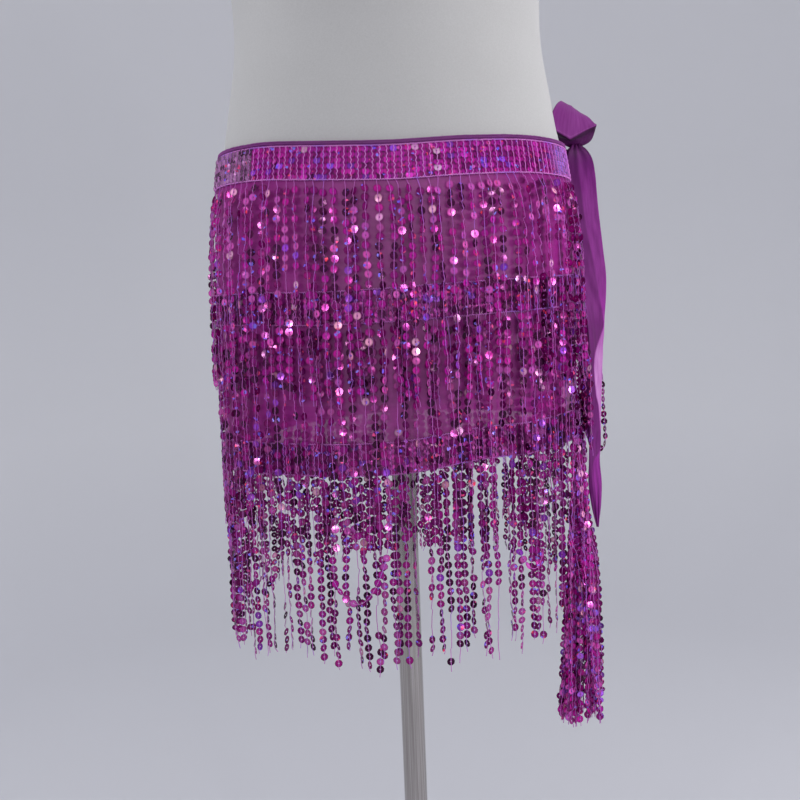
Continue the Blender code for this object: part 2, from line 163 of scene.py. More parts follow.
def fold_rise(angle, height):
    """How far the soft folds lift the cloth off the form."""
    rise = np.zeros_like(angle)
    for middle, half, high, top, bottom in FOLDS:
        across = np.clip(np.abs(angle - middle) / half, 0, 1)
        down = np.clip((top - height) / (top - bottom), 0, 1)
        rise += high * MM * down * (0.5 + 0.5 * np.cos(np.pi * across))
    return rise


def outward(angle, height):
    """The direction straight out of the cloth."""
    wide, deep = section_at(height)
    sine, cosine = np.sin(np.radians(angle)), np.cos(np.radians(angle))
    normal = np.stack([deep * sine, -wide * cosine, 0 * sine], -1)
    return normal / np.linalg.norm(normal, axis=-1, keepdims=True)


def on_cloth(angle, height, out=0.0):
    """Points on the base cloth's outer face, moved straight out of it."""
    angle, height, out = (np.array(x, float) for x in np.broadcast_arrays(angle, height, out))
    wide, deep = section_at(height)
    sine, cosine = np.sin(np.radians(angle)), np.cos(np.radians(angle))
    lift = (fold_rise(angle, height) + out)[..., None]
    return np.stack([wide * sine, -deep * cosine, height], -1) + outward(angle, height) * lift


def metres_a_degree(angle):
    """How far one degree reaches along the hips."""
    wide, deep = section_at(np.full_like(np.asarray(angle, float), HANG_FROM))
    turn = np.radians(angle)
    return np.radians(1.0) * np.hypot(wide * np.cos(turn), deep * np.sin(turn))


def angle_at(share, start=BACK_END, end=FRONT_END):
    """The angles that lie at these shares of the way round the hips."""
    steps = np.linspace(start, end, ANGLE_STEPS)
    walked = np.concatenate([[0], np.cumsum(metres_a_degree((steps[1:] + steps[:-1]) / 2))])
    return np.interp(np.asarray(share) * walked[-1], walked, steps)


def girth(start=BACK_END, end=FRONT_END):
    """The way round the hips between two angles."""
    return float(metres_a_degree(np.linspace(start, end, ANGLE_STEPS)).mean() * (end - start))


def tape_edge(which, angle):
    """The height of a tape's lower edge."""
    return read(HEADERS, angle)[..., TAPES[which]]


GIRTH = girth()
print("the scarf reaches", round(GIRTH, 3), "m round the hips")

# %% [markdown]
# ## Helpers for finishing a piece
#
# Every new piece is linked, given its material, and set to ride on the frame's one body. A grid
# helper makes cloth: Blender's own grid operator lays it flat, and each corner is then moved to its
# place. Its UV map is in metres of cloth, so that a weave keeps its real size.

# %% Helpers
MERGE = 1e-6  # corners this close, in metres, are one


def keep(name, mesh, material, slot, *stands_for):
    """Links a mesh as a piece that rides on the frame and stands for CAD solids."""
    mesh.name = name
    mesh.materials.append(material)
    piece = add_object(name, mesh)
    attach(piece, "root")
    if stands_for:
        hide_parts(*stands_for)
    return piece


def from_bmesh(shape, smooth=True):
    mesh = bpy.data.meshes.new("piece")
    shape.to_mesh(mesh)
    shape.free()
    if smooth:
        mesh.shade_smooth()
    return mesh


def cloth_grid(place, columns, rows, flat):
    """A grid laid by place(u, v), an array function, with a UV map in metres."""
    shape = bmesh.new()
    layer = shape.loops.layers.uv.new("flat")
    bmesh.ops.create_grid(shape, x_segments=columns, y_segments=rows, size=0.5)
    shape.verts.ensure_lookup_table()
    uv = np.array([(v.co.x + 0.5, v.co.y + 0.5) for v in shape.verts])
    for face in shape.faces:
        for loop in face.loops:
            u, v = uv[loop.vert.index]
            loop[layer].uv = (u * flat[0], v * flat[1])
    for vert, point in zip(shape.verts, place(uv[:, 0], uv[:, 1])):
        vert.co = point
    return from_bmesh(shape)


def keep_sheet(wall, name, mesh, *rest):
    """Keeps a sheet, and gives it a wall in mm, inward from its face. Prints the area that shows."""
    print(name, "shows", round(sum(face.area for face in mesh.polygons) * 1e6), "mm2")
    piece = keep(name, mesh, *rest)
    solid = piece.modifiers.new("wall", "SOLIDIFY")
    solid.thickness, solid.offset = wall * MM, -1.0
    return piece


def colour_mesh(mesh, name, colours):
    """Writes a colour for each corner, under a name that a material reads."""
    made = mesh.color_attributes.new(name, "FLOAT_COLOR", "POINT")
    made.data.foreach_set("color", np.ravel(colours))


def ripple(points, size, seed=0.0):
    """Smooth noise from about -1 to 1 at each point, with bumps of about this size in metres."""
    shift = Vector((seed, 2.3 * seed, -1.7 * seed))
    return np.array([noise.noise(Vector(p) / size + shift) for p in points])


print("helpers ready")

# %% [markdown]
# ## Effects that several finishes share
#
# Satin, tape and ribbon are all woven, so one node group draws their threads, so many to a metre.
# It reads the UV map, so the threads run with the cloth. A second group makes the spangle: foil
# that is dark at its rim and shows red or blue in tiny flakes. A third is a fine speckle, for what
# is spun or knitted.

# %% Node helpers
def feed(tree, socket, value):
    """Links a socket to another one, or writes a plain value into it."""
    if isinstance(value, bpy.types.NodeSocket):
        tree.links.new(value, socket)
    else:
        socket.default_value = value


def set_inputs(tree, node, **values):
    for title, value in values.items():
        feed(tree, node.inputs[title.replace("_", " ")], value)
    return node


def add_node(tree, kind, **values):
    """A shader node of this kind with its named inputs fed."""
    return set_inputs(tree, tree.nodes.new(f"ShaderNode{kind}"), **values)


def math_node(tree, operation, *values, kind="Math", clamp=False):
    """A Math or VectorMath node fed by sockets or plain values. It returns the node's output."""
    made = tree.nodes.new(f"ShaderNode{kind}")
    made.operation = operation
    if clamp:
        made.use_clamp = True
    for socket, value in zip(made.inputs, values):
        feed(tree, socket, value)
    return made.outputs["Value" if kind == "Math" or operation == "DISTANCE" else "Vector"]


def ramp(tree, value, *stops):
    """A colour ramp with (place, colour) stops. It returns the colour output."""
    made = add_node(tree, "ValToRGB", Fac=value)
    while len(made.color_ramp.elements) < len(stops):
        made.color_ramp.elements.new(0.5)
    for element, (place, colour) in zip(made.color_ramp.elements, stops):
        element.position, element.color = place, (*colour, 1.0)
    return made.outputs[0]


def blend_colour(tree, mode, factor, first, second):
    made = tree.nodes.new("ShaderNodeMix")
    made.data_type, made.blend_type = "RGBA", mode
    for place, value in ((0, factor), (6, first), (7, second)):  # the Mix node's colour sockets
        feed(tree, made.inputs[place], value)
    return made.outputs[2]


def new_group(name, inputs, outputs):
    """A node group whose sockets are given as their names and kinds."""
    group = bpy.data.node_groups.new(name, "ShaderNodeTree")
    for way, sockets in (("INPUT", inputs), ("OUTPUT", outputs)):
        for title, kind in sockets.items():
            group.interface.new_socket(title, in_out=way, socket_type=f"NodeSocket{kind}")
    return group, group.nodes.new("NodeGroupInput").outputs, group.nodes.new("NodeGroupOutput")


def use_group(tree, group, **values):
    made = tree.nodes.new("ShaderNodeGroup")
    made.node_tree = group
    return set_inputs(tree, made, **values).outputs


print("node helpers ready")

# %% Node groups
def weave_group():
    """Threads both ways, so many a metre, and the slubs that run along them."""
    group, given, made = new_group(
        "thread weave", {"Vector": "Vector", "Threads": "Float"}, {"Height": "Float", "Slub": "Float"}
    )
    split = add_node(group, "SeparateXYZ", Vector=given["Vector"])
    waves = []
    for axis in (0, 1):
        turns = math_node(group, "MULTIPLY", split.outputs[axis], given["Threads"])
        waves.append(math_node(group, "SINE", math_node(group, "MULTIPLY", turns, math.tau)))
    product = math_node(group, "MULTIPLY", *waves)
    stretched = math_node(group, "MULTIPLY", given["Vector"], (60.0, 420.0, 1.0), kind="VectorMath")
    slub = add_node(group, "TexNoise", Vector=stretched, Scale=1.0, Detail=1.5)
    set_inputs(
        group, made, Height=math_node(group, "MULTIPLY_ADD", product, 0.5, 0.5), Slub=slub.outputs["Fac"]
    )
    return group


def spangle_group():
    """Foil in its own tint, darker at the disc's rim, with tiny flakes of red and blue."""
    group, given, made = new_group(
        "spangle foil",
        {"Place": "Vector", "Disc": "Vector", "Tint": "Color", "Flakes": "Float", "Rim": "Float",
         "Rough": "Float"},
        {"Color": "Color", "Roughness": "Float"},
    )
    from_middle = math_node(group, "DISTANCE", given["Disc"], (0.5, 0.5, 0.0), kind="VectorMath")
    flakes = add_node(group, "TexVoronoi", Vector=given["Place"], Scale=460.0)
    hue = add_node(group, "SeparateColor", Color=flakes.outputs["Color"]).outputs
    rim = ramp(group, from_middle, (0.0, (1, 1, 1)), (0.30, (1, 1, 1)), (0.43, (0.62, 0.62, 0.62)),
               (0.5, (0.30, 0.30, 0.30)))
    toned = blend_colour(group, "MULTIPLY", given["Rim"], given["Tint"], rim)
    lit = math_node(group, "LESS_THAN", hue[0], given["Flakes"])
    spark = ramp(group, hue[1], (0.0, (0.95, 0.05, 0.10)), (0.35, (0.90, 0.10, 0.35)),
                 (0.4, (0.20, 0.10, 0.95)), (1.0, (0.34, 0.28, 1.0)))
    set_inputs(
        group, made, Color=blend_colour(group, "MIX", lit, toned, spark),
        Roughness=math_node(group, "MULTIPLY_ADD", hue[2], 0.08, given["Rough"]),
    )
    return group


def speckle_group():
    """Fine noise of a size in metres, and a tone that also wanders slowly."""
    group, given, made = new_group(
        "fine speckle", {"Vector": "Vector", "Size": "Float"}, {"Height": "Float", "Tone": "Float"}
    )
    scale = math_node(group, "DIVIDE", 1.0, given["Size"])
    fine = add_node(group, "TexNoise", Vector=given["Vector"], Scale=scale, Detail=4.0, Roughness=0.7)
    broad = add_node(group, "TexNoise", Vector=given["Vector"], Scale=9.0)
    slow = math_node(group, "MULTIPLY", broad.outputs["Fac"], 0.4)
    tone = math_node(group, "MULTIPLY_ADD", fine.outputs["Fac"], 0.6, slow)
    set_inputs(group, made, Height=fine.outputs["Fac"], Tone=tone)
    return group


WEAVE, SPANGLE, SPECKLE = weave_group(), spangle_group(), speckle_group()
print("node groups:", [group.name for group in (WEAVE, SPANGLE, SPECKLE)])

# %% [markdown]
# ## The finishes
#
# The satin is thin enough to let the light wall behind it through, which its alpha does. Thread is
# dull and lilac. A sequin is foil-coloured plastic: a little of its shine is metal, and the rest is
# a gloss tinted like the foil. Each has its own tint from the mesh, in part a painted reflection,
# dark or pale, as no two hang quite alike.

# %% Satin, thread and sequin finishes
FOIL = (0.3, 0.02, 0.24)
GLOSS = (1.0, 0.52, 0.88, 1.0)
LILAC, COOL_THREAD = (1.0, 0.6, 1.0, 1.0), (0.36, 0.13, 0.85, 1.0)
THREAD_SHEEN = {"Roughness": 0.7, "Sheen_Weight": 0.2}


def new_material(name, colour, **sockets):
    """A material with its Principled shader's own sockets set. It returns it, its tree and shader."""
    made = bpy.data.materials.new(name)
    made.use_nodes = True
    made.diffuse_color = (*colour, 1.0)
    shader = made.node_tree.nodes["Principled BSDF"]
    set_inputs(made.node_tree, shader, Base_Color=(*colour, 1.0), **sockets)
    return made, made.node_tree, shader


def bump(tree, shader, height, strength, distance):
    made = add_node(tree, "Bump", Height=height, Strength=strength, Distance=distance)
    set_inputs(tree, shader, Normal=made.outputs["Normal"])


def object_place(tree):
    return tree.nodes.new("ShaderNodeTexCoord").outputs["Object"]


def mesh_colour(tree, name):
    """The colour that each piece's mesh carries under this name."""
    made = tree.nodes.new("ShaderNodeAttribute")
    made.attribute_name = name
    return made.outputs["Color"]


def uv_place(tree, name):
    made = tree.nodes.new("ShaderNodeUVMap")
    made.uv_map = name
    return made.outputs[0]


def cloth_material(name, dark, light, threads, alpha=None, turned=0.0, shaded=False, **sockets):
    """Woven cloth between two tones, with its threads drawn at real size on the UV map.
    A shaded cloth is also multiplied by its mesh's own attribute, which holds painted shade and painted
    highlight."""
    made, tree, shader = new_material(name, light, **sockets)
    mapping = add_node(tree, "Mapping", Vector=uv_place(tree, "flat"), Rotation=(0.0, 0.0, turned))
    weave = use_group(tree, WEAVE, Vector=mapping.outputs[0], Threads=threads)
    slub = math_node(tree, "MULTIPLY", weave["Slub"], 0.86)
    tone = math_node(tree, "MULTIPLY_ADD", weave["Height"], 0.14, slub, clamp=True)
    colour = ramp(tree, tone, (0.25, dark), (0.75, light))
    if shaded:
        colour = blend_colour(tree, "MULTIPLY", 1.0, colour, mesh_colour(tree, "shade"))
    set_inputs(tree, shader, Base_Color=colour)
    bump(tree, shader, weave["Height"], 0.10, 0.1 * MM)
    if alpha:
        low, high = alpha
        see = math_node(tree, "MULTIPLY_ADD", tone, high - low, low, clamp=True)
        set_inputs(tree, shader, Alpha=see)
    return made


def fibre_material(
    name, dark, light, plain, fibre=0.9, dark_to=0.3, light_from=0.7, raised=None, **sockets
):
    """Spun or knitted fibre with flecks of tone, of a size in mm, that may be raised. The plain
    colour stands for it where no nodes are read, as in an export."""
    made, tree, shader = new_material(name, plain, **sockets)
    speckle = use_group(tree, SPECKLE, Vector=object_place(tree), Size=fibre * MM)
    colour = ramp(tree, speckle["Tone"], (dark_to, dark), (light_from, light))
    if raised:
        strength, height = raised
        bump(tree, shader, speckle["Height"], strength, height * MM)
    set_inputs(tree, shader, Base_Color=colour)
    return made


def thread_material(name, dark, light):
    """Lilac thread that turns blue in places."""
    made = fibre_material(
        name, dark, light, light, raised=(0.4, 0.2), **THREAD_SHEEN, Sheen_Tint=LILAC
    )
    tree = made.node_tree
    shader = tree.nodes["Principled BSDF"]
    patches = add_node(tree, "TexNoise", Vector=object_place(tree), Scale=45.0).outputs["Fac"]
    share = ramp(tree, patches, (0.54, (0, 0, 0)), (0.64, (0.5, 0.5, 0.5)))
    lilac = shader.inputs["Base Color"].links[0].from_socket
    set_inputs(tree, shader, Base_Color=blend_colour(tree, "MIX", share, lilac, COOL_THREAD))
    return made


def sequin_material(name, flakes, rim, rough, **sockets):
    made, tree, shader = new_material(name, FOIL, Specular_Tint=GLOSS, **sockets)
    foil = use_group(
        tree, SPANGLE, Place=object_place(tree), Disc=uv_place(tree, "disc"),
        Tint=mesh_colour(tree, "tint"), Flakes=flakes, Rim=rim, Rough=rough,
    )
    set_inputs(tree, shader, Base_Color=foil["Color"], Roughness=foil["Roughness"])
    return made


SATIN = cloth_material(
    "satin", (0.35, 0.0055, 0.255), (0.40, 0.008, 0.295), 1800.0, alpha=(0.65, 0.67),
    Roughness=0.5, Sheen_Weight=0.05, Sheen_Roughness=0.4, Sheen_Tint=(0.9, 0.35, 0.85, 1.0),
)
TAPE = cloth_material("tape", (0.13, 0.004, 0.10), (0.20, 0.010, 0.155), 1800.0, Roughness=0.6)
BINDING = cloth_material(
    "binding", (0.13, 0.009, 0.14), (0.24, 0.020, 0.24), 1200.0,
    Roughness=0.6, Sheen_Weight=0.15, Sheen_Roughness=0.5, Sheen_Tint=(0.9, 0.5, 0.95, 1.0),
)
RIBBON = cloth_material(
    "ribbon", (0.21, 0.012, 0.21), (0.30, 0.027, 0.30), 2600.0, turned=math.pi / 2, shaded=True,
    Roughness=0.5, Specular_IOR_Level=0.18, Sheen_Weight=0.01, Sheen_Roughness=0.35,
    Sheen_Tint=(0.95, 0.45, 1.0, 1.0),
)
THREAD = thread_material("thread", (0.32, 0.035, 0.31), (0.72, 0.19, 0.70))
STITCH = thread_material("stitch_thread", (0.48, 0.08, 0.46), (0.96, 0.36, 0.92))
EDGE = fibre_material(
    "edge_thread", (0.12, 0.010, 0.13), (0.37, 0.045, 0.36), (0.17, 0.012, 0.17),
    **THREAD_SHEEN, Sheen_Tint=(1.0, 0.5, 1.0, 1.0),
)
KNIT = fibre_material(
    "form_cover", (0.435, 0.43, 0.425), (0.515, 0.51, 0.505), (0.5, 0.5, 0.51),
    1.2, 0.30, 0.66, (0.15, 0.4), Roughness=0.9, Sheen_Weight=0.15, Sheen_Roughness=0.6,
)
SEQUIN = sequin_material("strand_sequins", 0.04, 0.9, 0.11, Metallic=0.2, Specular_IOR_Level=0.42)
SCALE = sequin_material("tape_sequins", 0.04, 0.45, 0.28, Metallic=0.25, Specular_IOR_Level=0.4)
FINISHES = (SATIN, TAPE, BINDING, RIBBON, THREAD, STITCH, EDGE, KNIT, SEQUIN, SCALE)
print("finishes:", [finish.name for finish in FINISHES])

# %% [markdown]
# ## The form and its stand
#
# The form is a smooth stuffed torso, covered in a close pale knit. Its solid is cut into forty flat
# sides, so the shown one is drawn again from the same table with more sides: one ring is made, and
# then extruded from section to section. The pole is polished steel and the base is painted.

# %% Form
FORM_SIDES = 96


def extrude_ring(shape, edges):
    """Extrudes a ring of edges in place. It returns the new ring's corners and edges."""
    made = bmesh.ops.extrude_edge_only(shape, edges=edges)["geom"]
    corners = [g for g in made if isinstance(g, bmesh.types.BMVert)]
    return corners, [
        g for g in made if isinstance(g, bmesh.types.BMEdge) and all(v in corners for v in g.verts)
    ]


def rings(sections, sides):
    """A closed round form: one circle, extruded and scaled from section to section."""
    shape = bmesh.new()
    corners = bmesh.ops.create_circle(shape, segments=sides, radius=1.0)["verts"]
    circle = [v.co.xy for v in corners]
    bmesh.ops.contextual_create(shape, geom=shape.edges[:])
    edges = shape.edges[:]
    order = {corner: i for i, corner in enumerate(corners)}
    for k, (height, wide, deep) in enumerate(sections):
        if k:
            corners, edges = extrude_ring(shape, edges)
            below = [next(e.other_vert(v) for e in v.link_edges if e.other_vert(v) in order) for v in corners]
            order = {v: order[old] for v, old in zip(corners, below)}
        for vert, i in order.items():
            vert.co = (wide * circle[i].x, deep * circle[i].y, height)
    bmesh.ops.contextual_create(shape, geom=edges)
    bmesh.ops.recalc_face_normals(shape, faces=shape.faces[:])
    return from_bmesh(shape)


heights = np.unique(np.concatenate([[row[0] for row in FORM], np.arange(0.79, 1.53, 0.012)]))
form_mesh = rings(read(FORM, heights).tolist(), FORM_SIDES)
form_mesh.set_sharp_from_angle(angle=math.radians(60))
keep("form_cover", form_mesh, KNIT, "form_cover", "dress_form")
print("form:", len(form_mesh.polygons), "faces")

# %% Pole and base
def metal_material(name, dark, light, stretch, rough, **sockets):
    """Metal or paint whose tone and roughness wander, in streaks where the stretch is long."""
    made, tree, shader = new_material(name, light, **sockets)
    place = math_node(tree, "MULTIPLY", object_place(tree), stretch, kind="VectorMath")
    streaks = add_node(tree, "TexNoise", Vector=place, Scale=1.0, Detail=5.0).outputs["Fac"]
    set_inputs(
        tree, shader, Base_Color=ramp(tree, streaks, (0.35, dark), (0.65, light)),
        Roughness=math_node(tree, "MULTIPLY_ADD", streaks, 0.18, rough - 0.06),
    )
    return made


CHROME = metal_material(
    "chrome", (0.31, 0.285, 0.27), (0.52, 0.49, 0.475), (900.0, 900.0, 6.0), 0.2, Metallic=1.0
)
PAINT = metal_material(
    "base_paint", (0.54, 0.54, 0.56), (0.58, 0.58, 0.60), (14.0, 14.0, 14.0), 0.4, Metallic=0.2,
    Coat_Weight=0.3, Coat_Roughness=0.2,
)
for node, finish in (("pole", CHROME), ("base_plate", PAINT)):
    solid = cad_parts[node]
    solid.data.materials.clear()
    solid.data.materials.append(finish)
print("stand: pole and base keep their solids")

# %% [markdown]
# ## The base cloth, its binding and the tapes
#
# The cloth is one rectangle, wrapped round the hips and open at one side. It starts as a flat grid,
# wide as the scarf is long, and each corner is set on the body. Between the tapes it puckers a
# little where the stitching draws it in, so fine ripples are added there, all round alike. The
# binding is folded over its top edge, and the tapes are laid on its face.

# %% Base cloth
CLOTH_CUT = (0.825, 0.258)
CLOTH_TOP = TAPE_HEIGHT + SEAM_GAP + BINDING_HEIGHT
PUCKER = 0.35 * MM
STITCHED, FREE_FROM = 0.013, 0.023  # distances from a tape's middle: held flat, and puckered
SATIN_WALL, BINDING_WALL, TAPE_WALL, KNOT_WALL = 0.35, 0.3, 0.25, 0.3  # shown walls, in mm


def cloth_place(u, v):
    """Places for the cloth, from the lower tape's lower edge to the binding's top."""
    angle = angle_at(u)
    low, high = tape_edge("lower", angle), tape_edge("top", angle) + CLOTH_TOP
    height = low + (high - low) * v
    rest = on_cloth(angle, height)
    crease = ripple(rest * (1.0, 1.0, 0.22), 0.011, 3.0) + 0.6 * ripple(rest, 0.006, 8.0)
    free = np.ones_like(v)
    for which in TAPES:
        away = np.abs(height - tape_edge(which, angle) - TAPE_HEIGHT / 2)
        free = np.minimum(free, np.clip((away - STITCHED) / (FREE_FROM - STITCHED), 0, 1))
    return rest + outward(angle, height) * (PUCKER * (crease - 0.9) * free)[:, None]


cloth_mesh = cloth_grid(cloth_place, 240, 54, CLOTH_CUT)
cloth = keep_sheet(SATIN_WALL, "hip_cloth_satin", cloth_mesh, SATIN, "satin", "hip_cloth")

# %% Binding and tapes
BINDING_FOLD = (  # along the strip, up from the tape's top, out from the cloth's face: all in mm
    (0, 0.3, 0.5), (1.4, 1.2, 1.5), (3, 2.7, 1.9), (4.2, 3.6, 1.2), (5.2, 3.9, 0.2),
    (6.1, 3.6, -0.6), (7.3, 2.4, -0.9), (9.7, 0, -0.8), (10.9, -1.2, -0.7),
)
BINDING_WIDTH = BINDING_FOLD[-1][0]
BINDING_CUT, TAPE_CUT = (GIRTH, BINDING_WIDTH * MM), (GIRTH, TAPE_HEIGHT)
TAPE_OUT, TAPE_CROWN = 0.5 * MM, 0.15 * MM


def binding_place(u, v):
    """The strip runs up the front, over the cloth's top edge and down behind it."""
    angle = angle_at(u)
    row = read(BINDING_FOLD, v * BINDING_WIDTH) * MM
    height = tape_edge("top", angle) + TAPE_HEIGHT + row[:, 1]
    puff = 0.2 * MM * ripple(on_cloth(angle, height), 0.010, 5.0) * (row[:, 2] > 0)
    return on_cloth(angle, height + puff, row[:, 2] + puff)


def on_tape(which, along, up):
    """The angle and the height at a place on a tape: along and up it, in metres."""
    angle = angle_at(np.asarray(along) / GIRTH)
    return angle, tape_edge(which, angle) + up


def tape_place(which):
    """Places for a tape that follows the cloth round, a little crowned across its width."""

    def place(u, v):
        crown = TAPE_OUT + TAPE_CROWN * (1 - (2 * v - 1) ** 2)
        return on_cloth(*on_tape(which, u * GIRTH, v * TAPE_HEIGHT), crown)

    return place


strip = cloth_grid(binding_place, 300, 12, BINDING_CUT)
binding = keep_sheet(BINDING_WALL, "binding_strip", strip, BINDING, "binding", "waist_binding")
for name in TAPES:
    mesh = cloth_grid(tape_place(name), 300, 6, TAPE_CUT)
    keep_sheet(TAPE_WALL, f"tape_{name}", mesh, TAPE, "sequins", f"header_{name}")

# %% [markdown]
# ## One sequin, repeated thousands of times
#
# A spangle is a disc of foil 6.4 mm across, pressed a tenth of a millimetre deep, with a hole in
# its middle. One circle makes it: its edge is extruded inwards to the hole for the front, and back
# out under itself for the back. Copies are joined into one mesh for each tier, by moving the one
# sequin's corners with an array of turns and places. Each copy carries its own tint.

# %% The sequin
SEQUIN_RADIUS = 3.2 * MM


def make_sequin(sides, *rows):
    """A disc from (radius, height) rows that start and end at its rim, in millimetres."""
    shape = bmesh.new()
    bmesh.ops.create_circle(shape, segments=sides, radius=rows[0][0] * MM)
    bmesh.ops.translate(shape, verts=shape.verts[:], vec=(0, 0, rows[0][1] * MM))
    edges = shape.edges[:]
    for (before, low), (radius, high) in zip(rows, rows[1:]):
        corners, edges = extrude_ring(shape, edges)
        bmesh.ops.scale(shape, verts=corners, vec=(radius / before, radius / before, 1.0))
        bmesh.ops.translate(shape, verts=corners, vec=(0, 0, (high - low) * MM))
    bmesh.ops.remove_doubles(shape, verts=shape.verts[:], dist=MERGE)
    bmesh.ops.recalc_face_normals(shape, faces=shape.faces[:])
    return from_bmesh(shape, smooth=False)


HUNG_SEQUIN = make_sequin(9, (3.2, 0.08), (0.65, 0.0), (1.9, -0.05), (3.2, 0.08))
TAPE_SEQUIN = make_sequin(8, (3.0, 0.22), (0.5, 0.0), (1.9, -0.05), (3.0, 0.22))


def repeat(template, places, turns, tints):
    """One mesh that holds the template at every place, turned, with a tint for each copy."""
    corners = np.array([v.co for v in template.vertices])
    loops = np.array([loop.vertex_index for loop in template.loops])
    starts = np.array([face.loop_start for face in template.polygons])
    copy = np.arange(len(places))[:, None]
    points = np.einsum("nij,kj->nki", turns, corners) + places[:, None, :]
    mesh = bpy.data.meshes.new("copies")
    mesh.vertices.add(copy.size * len(corners))
    mesh.vertices.foreach_set("co", points.ravel())
    mesh.loops.add(copy.size * len(loops))
    mesh.loops.foreach_set("vertex_index", (loops + copy * len(corners)).ravel())
    mesh.polygons.add(copy.size * len(starts))
    mesh.polygons.foreach_set("loop_start", (starts + copy * len(loops)).ravel())
    disc = mesh.uv_layers.new(name="disc")
    flat = corners[loops][:, :2] / (2 * SEQUIN_RADIUS) + 0.5
    disc.data.foreach_set("uv", np.tile(flat, (copy.size, 1)).ravel())
    colour_mesh(mesh, "tint", np.repeat(tints, len(corners), axis=0))
    mesh.update(calc_edges=True)
    mesh.polygons.foreach_set("use_smooth", np.zeros(len(mesh.polygons), bool))
    return mesh


print("faces of a sequin:", [len(mesh.polygons) for mesh in (HUNG_SEQUIN, TAPE_SEQUIN)])

# %% [markdown]
# Foil colours: most sequins are a deep magenta, some are nearly black, where they mirror a dark
# room, and a few are pale pink or blue-violet, where they catch a window. Drawing each sequin's
# tint from a short table of such tones, with its own share, keeps the mixture easy to change.

# %% Sequin tints
TONES = (  # share, colour
    (0.36, (0.43, 0.008, 0.275)), (0.28, (0.24, 0.003, 0.155)), (0.18, (0.06, 0.001, 0.042)),
    (0.15, (0.64, 0.09, 0.46)), (0.03, (0.95, 0.40, 0.66)), (0.04, (0.36, 0.05, 0.64)),
)
SCALE_TONES = (
    (0.50, (0.46, 0.014, 0.32)), (0.28, (0.37, 0.009, 0.26)), (0.04, (0.18, 0.004, 0.13)),
    (0.13, (0.55, 0.028, 0.42)), (0.003, (0.95, 0.50, 0.80)), (0.047, (0.32, 0.05, 0.66)),
)
BUNDLE_TONES = (
    *TONES[:2], (0.05, TONES[2][1]), (0.24, TONES[3][1]), (0.06, (0.95, 0.42, 0.68)),
    (0.13, (0.40, 0.12, 0.78)),
)
FOLLOWS, COMMON_TONES = 0.35, 4  # the chance of taking the last tone, and the tones that it is true of


def tints_for(count, draw, tones=TONES, follows=FOLLOWS):
    """Colours for a row of sequins, from the table's shares. Many take the tone of the one before."""
    shares = np.array([row[0] for row in tones])
    picked = draw.choice(len(tones), size=count, p=shares / shares.sum())
    for i in range(1, count):
        if draw.random() < follows and picked[i - 1] < COMMON_TONES:
            picked[i] = picked[i - 1]
    colours = np.array([row[1] for row in tones])[picked]
    colours = colours * draw.uniform(0.75, 1.25, (count, 1)) * draw.uniform(0.9, 1.1, (count, 3))
    return np.concatenate([colours, np.ones((count, 1))], 1)


print("tints:", [len(tones) for tones in (TONES, SCALE_TONES, BUNDLE_TONES)], "tones")

# %% Turned sequins and the thread that holds them
HALF_SEQUIN, CLOSE, LOOSE = 2.9, 0.45, 0.85  # in mm: up to the thread's turns, and their ways out


def unit(vectors):
    return vectors / np.maximum(np.linalg.norm(vectors, axis=-1, keepdims=True), 1e-9)


def turned(first, second, angle):
    """Two directions at right angles, turned together towards each other's place."""
    cosine, sine = np.cos(angle)[:, None], np.sin(angle)[:, None]
    return first * cosine - second * sine, second * cosine + first * sine


def turn_frames(up, face, yaw, pitch):
    """Turn matrices for discs that face out, yawed about the string and pitched over it."""
    up = unit(up)
    face = unit(face - (face * up).sum(-1, keepdims=True) * up)
    side, face = turned(np.cross(up, face), face, yaw)
    up, face = turned(up, face, pitch)
    return np.stack([side, up, face], -1)


def over_sequins(centres, frames, there=1.0):
    """The thread's way over each sequin's face, close to it at the top and looser below."""
    up, face = frames[:, :, 1], frames[:, :, 2]
    high = centres + up * HALF_SEQUIN * MM + face * CLOSE * MM * there
    low = centres - up * HALF_SEQUIN * MM + face * LOOSE * MM * there
    return np.stack([high, low], 1).reshape(-1, 3)


def threads(lines, radius):
    """Thin threads of a radius in mm along lists of points, joined into one mesh."""
    curve = bpy.data.curves.new("threads", "CURVE")
    curve.dimensions = "3D"
    curve.bevel_depth, curve.bevel_resolution, curve.use_fill_caps = radius * MM, 0, True
    for line in lines:
        spline = curve.splines.new("POLY")
        spline.points.add(len(line) - 1)
        spline.points.foreach_set("co", np.insert(line, 3, 1.0, axis=1).ravel())
    holder = add_object("threads", curve)
    bpy.context.view_layer.update()
    mesh = bpy.data.meshes.new_from_object(holder.evaluated_get(bpy.context.evaluated_depsgraph_get()))
    bpy.data.objects.remove(holder)
    bpy.data.curves.remove(curve)
    mesh.shade_smooth()
    return mesh


class Fringe:
    """Strings of sequins, gathered one by one and then made into two pieces."""

    def __init__(self):
        self.sequins, self.lines = [], []

    def add(self, places, turns, tints, line):
        self.sequins.append((places, turns, tints))
        self.lines.append(line)

    def make(self, name, radius):
        """The pieces: all the sequins in one mesh and all the threads in another."""
        rows = [np.concatenate(kind) for kind in zip(*self.sequins)]
        print(name, "fringe:", len(self.lines), "strings,", len(rows[0]), "sequins")
        return (
            keep(f"strands_{name}", repeat(HUNG_SEQUIN, *rows), SEQUIN, "sequin_strands", f"fringe_{name}"),
            keep(f"threads_{name}", threads(self.lines, radius), THREAD, "sequin_strands"),
        )


print("turns and threads ready")

# %% [markdown]
# ## The hanging strings of sequins
#
# Each string starts with about a centimetre of bare thread, which leans over before it hangs
# straight. Then a sequin follows every 7.1 mm. Strings sway, twist and miss sequins here and there,
# and end in a short length of bare thread. Beside the ribbon's slit they are shaggier, and a few
# more hang there. Some have caught on a neighbour and hang in a loop, as used ones do.

